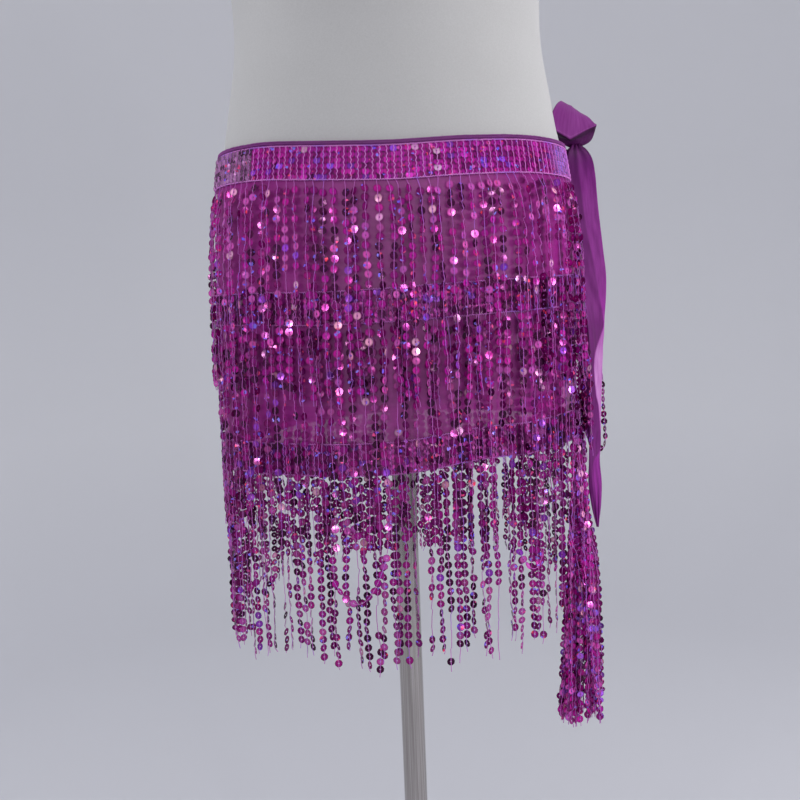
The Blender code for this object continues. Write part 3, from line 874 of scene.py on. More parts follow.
# %% Strand layout
SEQUIN_PITCH = 7.1 * MM
LENGTHENED, RAGGED = 8 * MM, 17 * MM  # a string's greatest extra length, and its shortening
ROOT_OUT, LEAN_DROP, SWAY_DROP, SHAG_SHARE = 1.6 * MM, 6 * MM, 0.05, 0.3
CORNER_FROM, CORNER_SHORTENING = 58.0, 36 * MM
SHAGGY_FROM, SLIT_SHAG, SLIT_YAW = 70.0, 0.12, 0.5
MISSING, WORN_STRINGS = 0.025, 0.15  # shares of sequins lost singly, and of strings with a gap
STRING_RADIUS = 0.29
# What each string draws for itself, as ranges: a shift in degrees, a wavelength in metres, the rest
# in mm. Then the spreads of its turns, and the mean and spread of a sequin's pitch, in radians.
ROOT_SHIFT, WAVE, BARE = (-0.35, 0.35), (0.05, 0.12), (5.5, 10.5)
LEAN, SWAY, TAIL, JITTER = (-1.4, 4.0), (0.2, 1.1), (1.5, 6.0), 0.25 * MM
TWIST, STRING_YAW, SEQUIN_YAW, SEQUIN_TIP = 0.035, 0.42, 0.34, (0.03, 0.11)
Tier = namedtuple("Tier", "name pitch knee knee_out length tip_out last shade shag at_slit strays seeds")
TIERS = (  # metres, but pitch, ways out and shag in mm; a stray's corners are (angle, drop)
    Tier("top", 8.1, 0.018, 3.6, 0.168, 6.6, FRONT_END, 1.05, 7.0, (68.0, 71.0), (), (21, 303)),
    Tier(
        "middle", 8.1, 0.060, 3.4, 0.175, 4.6, FRONT_END, 0.68, 11.0, (68.5, 70.5, 72.5, 76.0),
        (((-148.0, 0.120), (-141.0, 0.165), (-135.0, 0.125)),), (22, 306),
    ),
    Tier(
        "lower", 7.2, 0.045, 2.6, 0.157, 3.4, 60.0, 0.68, 6.0, (),
        (((-21.0, 0.082), (-12.7, 0.128), (-5.5, 0.064)), ((33.0, 0.075), (38.0, 0.110), (43.0, 0.080))),
        (23, 305),
    ),
)
PUSHED_OUT = np.array(  # one string of the middle tier, which hangs outside the ribbon's tail
    ((0.166, 0.026, 0.812), (0.178, 0.024, 0.799), (0.187, 0.024, 0.786), (0.1905, 0.024, 0.765),
     (0.1915, 0.024, 0.73), (0.193, 0.024, 0.708), (0.1915, 0.023, 0.698), (0.188, 0.022, 0.697)),
)


def sequins_on(path, reach, bare, yaws, draw, jitter, tip, missing):
    """Sequins down a string, where path(drop) gives its points and the way that they face.
    Returns their centres, their turn matrices, and which of them are still there."""
    count = int((reach - bare) / SEQUIN_PITCH)
    drops = bare + SEQUIN_PITCH * np.arange(count)
    centres, faces = path(drops)
    centres = centres + draw.normal(0, jitter, (count, 3))
    up = path(np.maximum(drops - SEQUIN_PITCH / 2, 0))[0] - path(drops + SEQUIN_PITCH / 2)[0]
    frames = turn_frames(up, faces, yaws(count), draw.normal(*tip, count))
    return centres, frames, draw.random(count) > missing


def hang_strands(tier, fringe):
    """Hangs one tier's strings all round, and then its few beside the slit."""
    draw = np.random.default_rng(tier.seeds[0])
    count = int(round(girth(BACK_END, tier.last) / (tier.pitch * MM)))
    roots = angle_at((np.arange(count) + 0.5) / count, BACK_END, tier.last)
    for i, root in enumerate([*roots, *tier.at_slit]):
        beside_slit = i >= count
        root += draw.uniform(*ROOT_SHIFT)
        reach = tier.length + LENGTHENED - draw.uniform(0, 1) ** 1.5 * RAGGED
        if tier.name == "middle" and root > CORNER_FROM:
            reach -= CORNER_SHORTENING
        bare = draw.uniform(*BARE) * MM
        lean = draw.uniform(*LEAN) * MM
        loose = SLIT_SHAG if beside_slit else 1.0 if root > SHAGGY_FROM else 0.0
        shag = draw.uniform(0.0, loose) * tier.shag * MM
        sway = draw.uniform(*SWAY) * MM
        wave, phase = draw.uniform(*WAVE), draw.uniform(0, math.tau)

        def path(drop):
            side = lean * (1 - np.exp(-drop / LEAN_DROP))
            side = side + sway * np.minimum(drop / SWAY_DROP, 1) * np.sin(drop / wave * math.tau + phase)
            angle = root + side / metres_a_degree(np.full_like(drop, root))
            ways_out = [ROOT_OUT, tier.knee_out * MM, tier.tip_out * MM]
            out = np.interp(drop, [0, tier.knee, tier.length], ways_out)
            out = out + shag * np.clip(drop / (SHAG_SHARE * tier.length), 0, 1)
            height = tape_edge(tier.name, np.full_like(drop, root)) - drop
            return on_cloth(angle, height, out), outward(angle, height)

        def yaws(size):
            twist = draw.normal(0, TWIST) * np.arange(size)
            yaw = draw.normal(0, STRING_YAW) + twist + draw.normal(0, SEQUIN_YAW, size)
            return yaw + SLIT_YAW * beside_slit

        centres, frames, there = sequins_on(path, reach, bare, yaws, draw, JITTER, SEQUIN_TIP, MISSING)
        if draw.random() < WORN_STRINGS:
            start = draw.integers(len(there) // 3, len(there) - 3)
            there[start : start + draw.integers(2, 7)] = False
        tints = tints_for(int(there.sum()), draw) * tier.shade
        start = path(np.array([-0.6 * MM, bare * 0.45]))[0]
        tail = 3 * MM + draw.uniform(*TAIL) * MM
        end = centres[-1] - frames[-1, :, 1] * tail + draw.normal(0, 0.5 * MM, 3)
        line = np.concatenate([start, over_sequins(centres, frames, there[:, None]), end[None]])
        fringe.add(centres[there], frames[there], tints, line)


def string_along(line, faces, draw, bare=0.0, shade=1.0):
    """Sequins along a line of points, after a bare length. faces point out, one for each point."""
    along = np.concatenate([[0], np.cumsum(np.linalg.norm(np.diff(line, axis=0), axis=1))])
    stops = np.arange(bare + SEQUIN_PITCH / 2, along[-1], SEQUIN_PITCH)

    def at(values, shift=0.0):
        return np.stack([np.interp(stops + shift, along, values[:, k]) for k in range(3)], -1)

    up = at(line, -SEQUIN_PITCH / 2) - at(line, SEQUIN_PITCH / 2)
    yaw, pitch = draw.normal(0, 0.5, len(stops)), draw.normal(0, 0.1, len(stops))
    tints = tints_for(len(stops), draw)
    tints[:, :3] *= shade
    return at(line), turn_frames(up, at(faces), yaw, pitch), tints, line + faces * 0.6 * MM


def stray_loop(tier, bend, draw):
    """A string's end that has caught on its neighbour and hangs between them in a loop."""
    t = np.linspace(0, 1, 60)[:, None]
    start, pull, end = (np.array(corner) for corner in bend)
    angle, drop = ((1 - t) ** 2 * start + 2 * t * (1 - t) * pull + t**2 * end).T
    height = tape_edge(tier.name, angle) - drop
    line = on_cloth(angle, height, (tier.tip_out + 1.6) * MM)
    return string_along(line, outward(angle, height), draw)


fringes = {}
for tier in TIERS:
    fringe = Fringe()
    hang_strands(tier, fringe)
    draw = np.random.default_rng(tier.seeds[1])
    for bend in tier.strays:
        fringe.add(*stray_loop(tier, bend, draw))
    if tier.name == "middle":
        faces = np.tile((0.8, -0.6, 0.0), (len(PUSHED_OUT), 1))
        fringe.add(*string_along(PUSHED_OUT, faces, draw, bare=0.030, shade=0.35))
    fringes[tier.name] = fringe.make(tier.name, STRING_RADIUS)

# %% [markdown]
# ## The sequinned tapes
#
# On the tapes the sequins lie like fish scales, in upright columns, each held by a line of chain
# stitch. A thicker line of the same stitch runs along the tape's top and bottom. The top tape is
# bare of strings, so it shows more: its sequins stand half on edge at the left of the front, and
# they turn bluer towards its front end.

# %% Tape sequins and stitches
COLUMN_PITCH, SCALE_PITCH, SCALE_ROWS, FIRST_ROW = 5.5 * MM, 4.1 * MM, 6, 2.6 * MM
SCALE_TILT, SCALE_OUT, HALF_ON_EDGE = math.radians(10), 1.15 * MM, 0.95
STITCHES, STITCH_SWING, STITCH_MARGIN, STITCH_OUT = 13, 0.42 * MM, 0.6 * MM, (2.3 * MM, 1.9 * MM)
CHAIN_PITCH, CHAIN_SWING, CHAIN_MARGIN, CHAIN_OUT = 1.0 * MM, 0.35 * MM, 0.2 * MM, 1.9 * MM
STITCH_RADIUS, CHAIN_RADIUS, EDGE_RADIUS = 0.34, 0.45, 0.42
STOOD_FROM, STOOD_TO = -98, -45  # the angles between which the top tape's sequins stand on edge
SHADED, STOOD_PAINTED_TONE, END_TONE, END_SHARE = 0.46, (0.33, 0.155, 0.32), (0.47, 0.26, 0.90), 0.925
NOWHERE = (0.0, 0.0)


def swinging(count, swing):
    """Steps to one side and the other in turn, for a zigzag."""
    return swing * np.where(np.arange(count) % 2, 1, -1)


def tape_scales(place, face_at, width, draw, on_edge=NOWHERE):
    """Columns of overlapping sequins on a tape. place(x, y, out) and face_at(x, y) take metres.
    Between the two places of on_edge, the sequins stand half on edge."""
    columns = int(width / COLUMN_PITCH)
    places, turns, lines = [], [], []
    for x in (np.arange(columns) + 0.5) * width / columns:
        y = TAPE_HEIGHT - FIRST_ROW - SCALE_PITCH * np.arange(SCALE_ROWS)
        xs = np.full(SCALE_ROWS, x) + draw.normal(0, 0.2 * MM, SCALE_ROWS)
        up = place(xs, y + MM, SCALE_OUT) - place(xs, y - MM, SCALE_OUT)
        stood = HALF_ON_EDGE if on_edge[0] < x < on_edge[1] else 0.0
        yaw = stood + draw.normal(0, 0.07, SCALE_ROWS)
        pitch = SCALE_TILT + draw.normal(0, 0.05, SCALE_ROWS)
        places.append(place(xs, y, SCALE_OUT))
        turns.append(turn_frames(up, face_at(xs, y), yaw, pitch))
        steps = np.linspace(TAPE_HEIGHT - STITCH_MARGIN, STITCH_MARGIN, STITCHES)
        wave = swinging(STITCHES, STITCH_SWING) + draw.normal(0, 0.2 * MM, STITCHES)
        out = np.where(np.arange(STITCHES) % 2, STITCH_OUT[1], STITCH_OUT[0])
        lines.append(place(x + wave, steps, out))
    places, turns = np.concatenate(places), np.concatenate(turns)
    return places, turns, tints_for(len(places), draw, SCALE_TONES, 0.0), lines


def chain_lines(place, width, draw):
    """The zigzags of chain stitch along a tape's two edges."""
    x = np.arange(CHAIN_PITCH / 2, width, CHAIN_PITCH)
    return [
        place(x, y + swinging(len(x), CHAIN_SWING) + draw.normal(0, 0.08 * MM, len(x)), CHAIN_OUT)
        for y in (CHAIN_MARGIN, TAPE_HEIGHT - CHAIN_MARGIN)
    ]


def tint_top_tape(tints, on_edge, draw):
    """Lively tones for the top tape: painted shade and highlight, greyer, where the sequins stand half on
    edge, and bluer at its end.
    """
    count = len(tints)
    tints[:, :3] *= draw.uniform(0.6, 1.25, (count, 1))
    columns = count // SCALE_ROWS
    share = np.repeat((np.arange(columns) + 0.5) / columns, SCALE_ROWS)
    stood = (share * GIRTH > on_edge[0]) & (share * GIRTH < on_edge[1])
    # Where the sequins stand half on edge, their tints are painted shade and painted highlight.
    tints[stood, :3] = draw.uniform(0.15, 1.9, (int(stood.sum()), 1)) * STOOD_PAINTED_TONE
    ending = np.clip((share - END_SHARE) / 0.03, 0, 1)[:, None] * draw.uniform(0.6, 1, (count, 1))
    tints[:, :3] = tints[:, :3] * (1 - ending) + draw.uniform(0.3, 1.6, (count, 1)) * END_TONE * ending


SHARES = np.linspace(0, 1, 400)
for name, column in TAPES.items():
    draw = np.random.default_rng(40 + column)
    on_top = name == "top"
    on_edge = np.interp((STOOD_FROM, STOOD_TO), angle_at(SHARES), SHARES) * GIRTH if on_top else NOWHERE

    def place(x, y, out):
        return on_cloth(*on_tape(name, x, y), out)

    def face_at(x, y):
        return outward(*on_tape(name, x, y))

    places, turns, tints, lines = tape_scales(place, face_at, GIRTH, draw, on_edge)
    if on_top:
        tint_top_tape(tints, on_edge, draw)
    else:
        tints[:, :3] *= SHADED * draw.uniform(0.5, 1.5, (len(tints), 1))
    yarn = STITCH if on_top else THREAD
    scales = keep(f"scales_{name}", repeat(TAPE_SEQUIN, places, turns, tints), SCALE, "sequins")
    columns = keep(f"stitches_{name}", threads(lines, STITCH_RADIUS), yarn, "sequins")
    edges = chain_lines(place, GIRTH, draw)
    chains = keep(f"chains_{name}", threads(edges, CHAIN_RADIUS), yarn, "sequins")
    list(fringes[name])
    print(name, "tape:", len(places), "sequins in", len(lines), "columns")

# %% Knitted edge
KNIT_PITCH, KNIT_SWING = 0.9 * MM, 0.45 * MM
KNIT_ROWS = ((1.7 * MM, 2.2 * MM), (3.1 * MM, 2.1 * MM))  # up from the tape's top, out from the cloth

draw = np.random.default_rng(91)
rows = []
for up, out in KNIT_ROWS:
    x = np.arange(0.4 * MM, GIRTH, KNIT_PITCH)
    wave = swinging(len(x), KNIT_SWING) + draw.normal(0, 0.1 * MM, len(x))
    rows.append(on_cloth(*on_tape("top", x, TAPE_HEIGHT + (up + wave)), out))
knit = keep("binding_knit", threads(rows, EDGE_RADIUS), EDGE, "binding")
print("knitted edge:", sum(len(row) for row in rows), "stitches")

# %% [markdown]
# ## Ribbons through stations
#
# The ties, the knot, the loop and the hanging ends are all one kind of thing: satin ribbon on a
# path. A table gives stations along the path: how far along, the place, the width, which way the
# ribbon turns and tilts, and how much it is cupped. A flat grid is carried along these stations,
# and pleats and puckers are pressed into it.

# %% Ribbon tables
RIBBONS = {  # along, x, y, z, width, turn, tilt, cup, in millimetres and degrees
    "tie_front": (
        (0, 150.4, -11.2, 962.2, 12, 0, 90, 0), (5, 152.4, -7.2, 963.8, 10, 0, 90, 0),
        (9, 154.7, -2.9, 966.4, 6, 0, 90, 0),
    ),
    "tie_back": (
        (0, 145.6, 30.2, 962.6, 12, 0, 90, 0), (9, 152, 23, 964, 10.5, 0, 90, 0),
        (18, 157.2, 14.6, 965.6, 8, 0, 90, 0), (26, 160.2, 8.1, 967, 5.5, 0, 90, 0),
    ),
    "bow_loop": (
        (0, 161.5, 3.2, 972.6, 6, 4, 0, 0), (8, 162, 7.4, 981, 20, 20, 0, 0.6),
        (19, 162.4, 8.6, 992, 26, 22, -4, 1), (30, 161.4, 4, 1001.4, 22, 22, -16, 0.8),
        (39, 158, -5, 1004.4, 22, 24, -24, 0.4), (48, 157, -13, 999.6, 36, 26, -14, 1.4),
        (58, 156.4, -18, 991.2, 49, 28, -4, 2.2), (65, 156.4, -19, 987.6, 51, 28, 2, 1.6),
        (68, 157, -16.4, 985.2, 48, 27, 2, 0.4), (73, 158.2, -13, 981, 42, 24, 2, 0),
        (79, 160, -8.6, 976.2, 31, 16, 0, 0.2), (83, 161, -5, 973.4, 20, 8, 0, 0.2),
        (86, 161.5, -1.4, 971.6, 9, 0, 0, 0),
    ),
    "tail_front": (
        (0, 161.4, -5.6, 973.2, 7, 0, 0, 0), (6, 162.6, -8, 967.6, 16, 0, 0, 1),
        (14, 164.4, -7, 959.8, 22, 0, 0, 1.6), (26, 166.6, -2.4, 948, 24.5, 0, 0, 1),
        (40, 168.2, 1, 935, 25.2, 0, 0, 1), (55, 169.8, 2.6, 920, 25.5, 2, 0, 1),
        (84, 174, 3.6, 890, 24.5, 4, 0, 1), (119, 178.4, 4, 855, 23.5, 8, 0, 0.8),
        (154, 179.8, 4, 820, 19, 22, 0, 0.6), (185, 180, 4, 789, 17, 32, 0, 0.4),
        (229, 179.6, 4, 745, 14.5, 38, 0, 0.2), (274, 177.8, 4, 700, 13.5, 28, 0, 0.2),
        (285, 177.4, 4, 689, 12, 24, 0, 0), (304, 178, 4, 670, 13.5, 14, 0, 0),
        (330, 179.2, 4, 644, 8.5, 4, 0, 0), (348, 180.2, 4, 626, 1.8, 0, 0, 0),
    ),
    "tail_back": (
        (0, 162.2, 3.6, 962.1, 8, 0, 0, 0), (14, 165.2, 8.6, 948, 22, -2, 0, 1.4),
        (43, 168.2, 12.2, 920, 23.5, -4, 0, 1.8), (72, 171.4, 13.6, 890, 22, -6, 0, 1.6),
        (107, 174.6, 14.4, 855, 20, -10, 0, 1.2), (150, 176, 14.6, 812, 18, -14, 0, 0.8),
        (200, 175.6, 14.6, 762, 15, -10, 0, 0.4), (240, 176.2, 14.2, 722, 11, -4, 0, 0),
        (262, 177, 14, 700, 1.8, 0, 0, 0),
    ),
    "corner": (
        (0, 150.4, -39.9, 721.8, 25.5, 66, 5, 0), (22, 150.4, -39.9, 700, 25.5, 66, 0, 0),
        (52, 151, -42, 670, 25, 60, 0, 0), (85, 151.4, -46, 637, 24.5, 46, 0, 0),
        (120, 150.6, -49.5, 602, 25, 32, 0, 0),
    ),
}
# A ribbon without a fold has one even tone of painted shade.
NO_FOLD = ((0, 0, 0, 0.7, 0.7), (1, 0, 0, 0.7, 0.7))
FOLD_LINES = {  # share along, the fold's place across (-1 to 1), its height in mm, painted shade or highlight tones beside it
    "tail_front": (
        (0, 0, 0, 0.36, 0.36), (0.04, -0.2, -1, 0.52, 0.7), (0.12, -0.1, -1.8, 0.68, 1.02),
        (0.25, 0, -2, 0.78, 0.98), (0.38, 0.3, -2.2, 0.85, 1), (0.44, 0.7, -2.5, 0.75, 1.15),
        (0.466, 0.8, -1.5, 0.6, 1.5), (0.535, -0.3, -1.2, 0.5, 1.85), (0.585, -0.5, -1.2, 0.5, 1.9),
        (0.641, -0.2, -1.2, 0.5, 1.9), (0.684, 0.4, -1.2, 0.56, 1.85), (0.73, 0.7, -1.2, 0.6, 1.6),
        (0.793, 0.85, -1, 0.66, 1.3), (0.82, -0.3, -1, 0.66, 0.95), (0.9, -0.5, -2, 0.8, 1.05),
        (1, 0, 0, 0.8, 0.9),
    ),
    "tail_back": (
        (0, 0, 0, 0.5, 0.5), (0.1, -0.3, -1, 0.7, 0.8), (0.3, -0.3, -2, 0.7, 0.8),
        (0.7, 0.2, -2.4, 0.65, 0.9), (1, 0, 0, 0.7, 0.7),
    ),
    "bow_loop": (
        (0, 0, 0, 0.5, 0.5), (0.2, 0, 0, 0.6, 0.6), (0.42, -0.1, -1, 0.76, 0.78),
        (0.62, -0.25, -3, 0.74, 0.78), (0.735, -0.15, -1.5, 0.72, 0.76), (0.75, -0.15, -1.5, 0.82, 0.9),
        (0.765, -0.15, -1.5, 0.18, 0.2), (0.85, 0, 0, 0.18, 0.25), (1, 0, 0, 0.4, 0.4),
    ),
}
NO_SAG = ((0, 0), (1, 0))
LOOP_SAG = (  # share along, how far the middle of the ribbon sags below its two edges, in mm
    (0, 0), (0.45, 0), (0.60, 3), (0.75, 12), (0.80, 10), (0.88, 3), (1, 0),
)
Ribbon = namedtuple("Ribbon", "columns rows depth pucker width length area held")
SETTINGS = {  # the grid, pleats and puckers in mm, then the cut in metres, and how it is held
    "tie_front": Ribbon(12, 14, 0.7, 0.15, 0.025, 0.0105, 0.00013, "gathered"),
    "tie_back": Ribbon(12, 30, 0.8, 0.2, 0.025, 0.027, 0.00036, "gathered"),
    "bow_loop": Ribbon(24, 90, 1.2, 0.55, 0.051, 0.096, 0.003, "folded"),
    "tail_front": Ribbon(28, 220, 1.1, 0.45, 0.025, 0.348, 0.0078, "hung"),
    "tail_back": Ribbon(14, 200, 0.9, 0.4, 0.025, 0.262, 0.0059, "hung"),
}
print("ribbons:", {name: len(stations) for name, stations in RIBBONS.items()}, "stations")

# %% Ribbons
RIBBON_WIDTH, FULL_WIDTH, PLEATS, GATHER_LENGTH = 0.025, 26 * MM, 3, 60 * MM
# PALE_FROM_ON_LOOP is the tone above which the painted highlight on the bow's loop turns paler.
FIRST_SEED, PALE_FROM_ON_LOOP = 11.0, 0.60


def paint_ribbon_light_and_shade(mesh, table, columns, pale_from=1.0):
    """Writes the satin's painted shade and painted highlight: darker in its deep gathers, inside the loop
    and on facets turned from the light, brighter on a facet that faces the light, and paler from a given tone
    on."""
    rows = len(mesh.vertices) // (columns + 1)
    row = read(table, np.linspace(0, 1, rows))
    s = np.linspace(-1, 1, columns + 1)[None, :]
    side = np.clip((s - row[:, 1, None]) / 0.12 + 0.5, 0, 1)
    tone = row[:, 3, None] * (1 - side) + row[:, 4, None] * side
    colours = np.ones((rows, columns + 1, 4))
    colours[:, :, :3] = tone[:, :, None]
    colours[:, :, 1] *= np.clip((tone / pale_from) ** 2.6, 1, 5)
    colour_mesh(mesh, "shade", colours)


def ribbon_frame(stations, along):
    """The centre, the direction across, the face's normal, the width and the cup at shares along."""
    stations = np.asarray(stations, float)
    length, step = stations[-1, 0], 0.5
    row = read(stations, along * length)
    run = read(stations, along * length + step)[:, 1:4] - read(stations, along * length - step)[:, 1:4]
    turn, tilt = np.radians(row[:, 5]), np.radians(row[:, 6])
    across = np.stack([np.cos(turn) * np.cos(tilt), np.sin(turn) * np.cos(tilt), np.sin(tilt)], -1)
    return row[:, 1:4] * MM, across, unit(np.cross(across, run)), row[:, 4] * MM, row[:, 7] * MM


def ribbon_place(stations, setting, seed, fold_line, sag):
    """Places for a ribbon, with pleats that open out from its gathered ends and a few puckers."""
    length = stations[-1][0] * MM

    def place(u, v):
        centre, across, normal, width, cup = ribbon_frame(stations, v)
        s = 2 * u - 1
        flat = np.stack([u * RIBBON_WIDTH, v * length, 0 * u], -1)
        open_out = np.clip(1.2 - np.minimum(v, 1 - v) * length / GATHER_LENGTH, 0.15, 1)
        gathered = np.clip(1 - width / FULL_WIDTH, 0, 1) * open_out
        wave = np.sin(math.pi * PLEATS * s + 2.0 * ripple(flat, 0.03, seed))
        lift = cup * (1 - s * s) + setting.depth * MM * gathered * wave * (1 - 0.3 * np.abs(s))
        lift = lift + setting.pucker * MM * ripple(flat * (1.0, 0.45, 1.0), 0.006, seed + 3)
        line = read(fold_line, v)
        slope = np.where(s < line[:, 1], (s + 1) / (line[:, 1] + 1), (1 - s) / (1 - line[:, 1]))
        lift = lift + line[:, 2] * MM * slope
        point = centre + across * (s * width / 2)[:, None]
        point[:, 2] -= read(sag, v)[:, 1] * MM * (1 - np.abs(s + 0.15) / 1.15)
        return point + normal * lift[:, None]

    return place


for i, (name, setting) in enumerate(SETTINGS.items()):
    fold_line, is_loop = FOLD_LINES.get(name, NO_FOLD), name == "bow_loop"
    place = ribbon_place(RIBBONS[name], setting, FIRST_SEED + i, fold_line, LOOP_SAG if is_loop else NO_SAG)
    mesh = cloth_grid(place, setting.columns, setting.rows, (setting.width, setting.length))
    paint_ribbon_light_and_shade(mesh, fold_line, setting.columns, PALE_FROM_ON_LOOP if is_loop else 1.0)
    keep_sheet(SATIN_WALL, f"ribbon_{name}", mesh, RIBBON, "ribbon", name)

# %% The knot
KNOT_CENTRE, KNOT_RADII = np.array((161.5, 1.0, 967.3)) * MM, np.array((7.5, 6.5, 5.0)) * MM
KNOT_REACH, KNOT_SHADE = 0.97, 0.6
KNOT_MAP, KNOT_CUT = (0.015, 0.034), (0.015, 0.036)  # the weave's map, and the cut


def knot_place(u, v):
    """A ribbon wrapped once round: v goes round it, and u across, pinched in at both sides."""
    x = (2 * u - 1) * KNOT_REACH
    turn = v * math.tau
    fold = 1 + 0.07 * np.sin(x * 9 + 1.3 * np.sin(turn)) - 0.05 * np.cos(2 * turn + 4 * x)
    bulge = np.sqrt(1 - x**2) * fold
    return KNOT_CENTRE + KNOT_RADII * np.stack([x, -bulge * np.cos(turn), bulge * np.sin(turn)], -1)


knot_mesh = cloth_grid(knot_place, 28, 48, KNOT_MAP)
shape = bmesh.new()
shape.from_mesh(knot_mesh)
bmesh.ops.remove_doubles(shape, verts=shape.verts[:], dist=MERGE)
knot_mesh = from_bmesh(shape)
colour_mesh(knot_mesh, "shade", np.full(4 * len(knot_mesh.vertices), KNOT_SHADE))
knot = keep_sheet(KNOT_WALL, "ribbon_knot", knot_mesh, RIBBON, "ribbon", "knot")

# %% [markdown]
# ## The spare end beside the slit
#
# The lower tape is longer than the cloth, and its spare end turns down beside the slit. Its strings
# hang from its side as well as from its foot, and a few of the lower tape's own hang beside them,
# so they gather in a dense bundle.

# %% Corner tape
CORNER = RIBBONS["corner"]
CORNER_LENGTH = CORNER[-1][0] * MM
CORNER_THREAD_RADIUS = 0.3
corner_draw = np.random.default_rng(77)


def corner_place(x, y, out):
    """A place on the spare end: x along it from its top, y across it, both in metres."""
    centre, across, normal, width, _ = ribbon_frame(CORNER, np.atleast_1d(x) / CORNER_LENGTH)
    share = (1 - np.atleast_1d(y) / TAPE_HEIGHT * 2)[:, None]
    return centre + across * share * width[:, None] / 2 - normal * np.reshape(out, (-1, 1))


def corner_face(x, y):
    return -ribbon_frame(CORNER, np.atleast_1d(x) / CORNER_LENGTH)[2]


corner_mesh = cloth_grid(
    lambda u, v: corner_place(v * CORNER_LENGTH, u * TAPE_HEIGHT, 0.0), 6, 60,
    (TAPE_HEIGHT, CORNER_LENGTH),
)
corner = keep_sheet(TAPE_WALL, "tape_corner", corner_mesh, TAPE, "sequins", "header_corner")
*rows, lines = tape_scales(corner_place, corner_face, CORNER_LENGTH, corner_draw)
corner_scales = keep("scales_corner", repeat(TAPE_SEQUIN, *rows), SCALE, "sequins")
lines += chain_lines(corner_place, CORNER_LENGTH, corner_draw)
corner_stitches = keep("stitches_corner", threads(lines, CORNER_THREAD_RADIUS), THREAD, "sequins")
print("corner tape:", len(rows[0]), "sequins")

# %% The bundle's strings
BUNDLE_FOOT, BUNDLE_SHADE, SLIT_SHADE = 0.457, 1.16, 0.45
BUNDLE_CENTRE, BUNDLE_SPREAD, SLIT_SPREAD = (0.1495, -0.050), (0.019, 0.009), 0.004
BUNDLE_BARE, BUNDLE_MISSING, BUNDLE_RAGGED = 5 * MM, 0.03, 14 * MM
BUNDLE_SWAY, BUNDLE_WAVE, BUNDLE_JITTER = 1.1 * MM, 0.06, 0.3 * MM
BUNDLE_YAW, BUNDLE_SEQUIN_YAW, BUNDLE_TIP, BUNDLE_FACES = 0.9, 0.3, (0, 0.16), (0.45, -0.89, 0.0)
ROOT_PITCH, ROOT_COUNT = 8.1 * MM, 9  # along the spare end's long edges, and across its two ends
BESIDE_SLIT = (61.5, 64.5, 67.5, 70.5, 73.5)
AT_SLIT = (79.0, 80.0, 81.0, 82.0, 83.0, 84.0)
SLIT_FEET = np.linspace(-0.038, 0.012, len(AT_SLIT))  # how far back each string at the slit ends
ROUND_TAIL = (  # drop, and how far out the strings at the slit hang, past the ribbon's tail
    (0.0, 0.1600), (0.026, 0.1643), (0.066, 0.1670), (0.096, 0.1707), (0.126, 0.1762), (0.270, 0.1772),
)


def bundle_roots():
    """Where the bundle's strings start: the spare end's edges, foot and top, and the lower tape."""
    roots = [(x, 1.0 * MM, 0.9 * MM) for x in np.arange(0.006, CORNER_LENGTH, ROOT_PITCH)]
    roots += [(CORNER_LENGTH - 1.0 * MM, y, 0.9 * MM) for y in np.linspace(2 * MM, 24 * MM, ROOT_COUNT)]
    roots += [(4.0 * MM, y, 4.0 * MM) for y in np.linspace(1 * MM, 25 * MM, ROOT_COUNT)]
    roots += [(x, 24.5 * MM, 1.5 * MM) for x in np.arange(0.012, CORNER_LENGTH, 2 * ROOT_PITCH)]
    beside = np.array([*BESIDE_SLIT, *AT_SLIT])
    hung = on_cloth(beside, tape_edge("lower", beside), 3.2 * MM)
    return [*(corner_place(*root)[0] for root in roots), *hung]


def hang_bundle(draw, fringe):
    """Hangs the bundle: most strings gather to one foot, and the last few go round the tail."""
    starts = bundle_roots()
    first_at_slit = len(starts) - len(AT_SLIT)
    for k, root in enumerate(starts):
        reach = root[2] - (BUNDLE_FOOT + draw.uniform(0, BUNDLE_RAGGED))
        aside = draw.uniform(-1, 1, 2)
        round_tail = k >= first_at_slit

        def path(drop):
            share = np.clip(drop / reach, 0, 1)[:, None]
            if round_tail:
                back = SLIT_FEET[k - first_at_slit] - root[1]
                back = root[1] + back * np.clip(drop / 0.1, 0, 1)
                out = read(ROUND_TAIL, drop)[:, 1] * (1 + 1.37 * back)
                side = np.stack([out, back], -1) + aside * SLIT_SPREAD * share
            else:
                foot = np.array(BUNDLE_CENTRE) + aside * BUNDLE_SPREAD
                side = root[:2] + (foot - root[:2]) * share**0.8
            sway = BUNDLE_SWAY * np.sin(drop / BUNDLE_WAVE + k)
            points = np.stack([side[:, 0] + sway, side[:, 1], root[2] - drop], -1)
            return points, np.tile(BUNDLE_FACES, (len(drop), 1))

        def yaws(size):
            return draw.uniform(-BUNDLE_YAW, BUNDLE_YAW) + draw.normal(0, BUNDLE_SEQUIN_YAW, size)

        centres, frames, there = sequins_on(
            path, reach, BUNDLE_BARE, yaws, draw, BUNDLE_JITTER, BUNDLE_TIP, BUNDLE_MISSING
        )
        tints = tints_for(int(there.sum()), draw, BUNDLE_TONES) * (SLIT_SHADE if round_tail else BUNDLE_SHADE)
        run = over_sequins(centres, frames)
        line = np.concatenate([root[None], run, (run[-1] - frames[-1, :, 1] * 3 * MM)[None]])
        fringe.add(centres[there], frames[there], tints, line)


bundle_fringe = Fringe()
hang_bundle(corner_draw, bundle_fringe)
bundle, bundle_threads = bundle_fringe.make("corner", STITCH_RADIUS)

# %% [markdown]
# ## What is cloth, and how it was cut
# Most sheets' UV maps have the flat size they were cut to, and each sheet prints the area that
# it shows. Cloth folds, but it hardly stretches.

for name, setting in SETTINGS.items():
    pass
print("sheets declared:", 7 + len(SETTINGS))

# %% [markdown]
# ## A pale studio
#
# The form stands in a round studio: a pale floor that curves up into a wall, so that no line shows
# behind it. It is one profile, spun about the upright axis. Two large soft lights stand to the
# right and left, hidden from the mirrors. Small lamps stand in for distant windows: the sequins
# mirror them as glints, and three of them light nothing else.

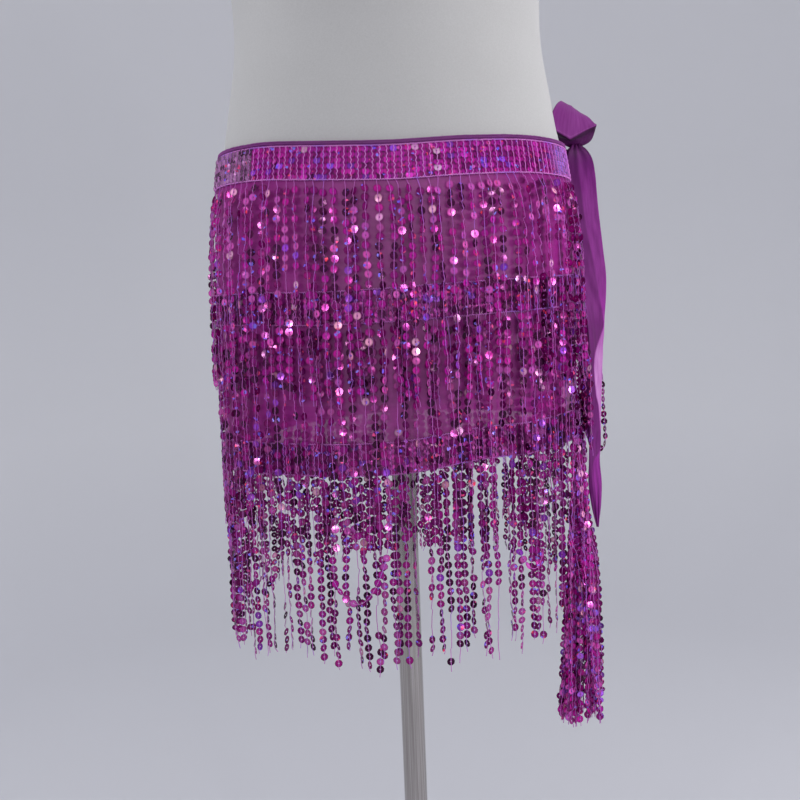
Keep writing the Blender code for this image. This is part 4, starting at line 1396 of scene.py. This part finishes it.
# %% Floor and wall
FLOOR_RADIUS, COVE_RADIUS, WALL_TOP, COVE_STEPS = 1.4, 1.3, 3.6, 16
profile = [(0.0, 0.0), (FLOOR_RADIUS, 0.0)]
for step in range(1, COVE_STEPS + 1):
    turn = math.pi / 2 * step / COVE_STEPS
    profile.append((FLOOR_RADIUS + COVE_RADIUS * math.sin(turn), COVE_RADIUS * (1 - math.cos(turn))))
profile.append((FLOOR_RADIUS + COVE_RADIUS, WALL_TOP))
shape = bmesh.new()
corners = [shape.verts.new((x, 0.0, z)) for x, z in profile]
lines = [shape.edges.new(pair) for pair in zip(corners, corners[1:])]
bmesh.ops.spin(
    shape, geom=[*corners, *lines], axis=(0, 0, 1), cent=(0, 0, 0), angle=math.tau, steps=96,
    use_merge=True,
)
bmesh.ops.remove_doubles(shape, verts=shape.verts[:], dist=10 * MERGE)
paint, tree, shader = new_material("studio", (0.60, 0.605, 0.645), Roughness=1.0)
split = add_node(tree, "SeparateXYZ", Vector=object_place(tree))
tone = ramp(
    tree, math_node(tree, "MULTIPLY", split.outputs[2], 0.5),
    (0.0, (0.575, 0.58, 0.622)), (0.2, (0.625, 0.63, 0.665)), (1.0, (0.60, 0.604, 0.638)),
)
set_inputs(tree, shader, Base_Color=tone)
studio_mesh = from_bmesh(shape)
studio_mesh.materials.append(paint)
add_object("studio", studio_mesh)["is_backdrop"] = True
print("studio:", len(studio_mesh.polygons), "faces")

# %% Lights
world = bpy.data.worlds.new("studio light")
world.use_nodes = True
set_inputs(
    world.node_tree, world.node_tree.nodes["Background"], Color=(0.965, 0.97, 1.0, 1.0), Strength=0.93
)
bpy.context.scene.world = world
HIPS, WHITE = (0.0, 0.0, 0.85), (1.0, 1.0, 1.0)
LIGHTS = (  # name, place, aim, size, watts, colour, lights the cloth, shows in a mirror
    ("right softbox", (1.85, -0.40, 1.2), (0.0, 0.0, 1.35), 1.2, 25.0, (1.0, 0.99, 0.99), True, False),
    ("left softbox", (-1.9, -0.2, 1.2), (0.0, 0.0, 1.3), 1.2, 11.0, (0.97, 0.98, 1.0), True, False),
    ("left window", (-1.3, -1.5, 1.55), HIPS, 0.20, 4.0, WHITE, True, True),
    ("right window", (1.0, -1.9, 1.25), HIPS, 0.20, 4.0, WHITE, True, True),
    ("left glint", (-0.55, -2.1, 1.05), HIPS, 0.22, 8.0, WHITE, False, True),
    ("right glint", (1.5, -1.25, 0.95), HIPS, 0.22, 8.0, WHITE, False, True),
    ("high glint", (0.35, -1.9, 1.60), HIPS, 0.22, 8.0, WHITE, False, True),
)
for name, place_at, aim, size, watts, colour, lighting, mirrored in LIGHTS:
    lamp = bpy.data.lights.new(name, "AREA")
    lamp.shape, lamp.size, lamp.energy, lamp.color = "DISK", size, watts, colour
    holder = add_object(name, lamp)
    holder.location = place_at
    holder.rotation_euler = (Vector(aim) - Vector(place_at)).to_track_quat("-Z", "Y").to_euler()
    holder.visible_diffuse, holder.visible_glossy = lighting, mirrored
print("lights:", len(LIGHTS))

# %% [markdown]
# ## Measure and finish
#
# The last line counts the triangles of the shown pieces.

# %% Finish
count = sum(len(o.data.loop_triangles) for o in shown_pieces() if not o.data.calc_loop_triangles())
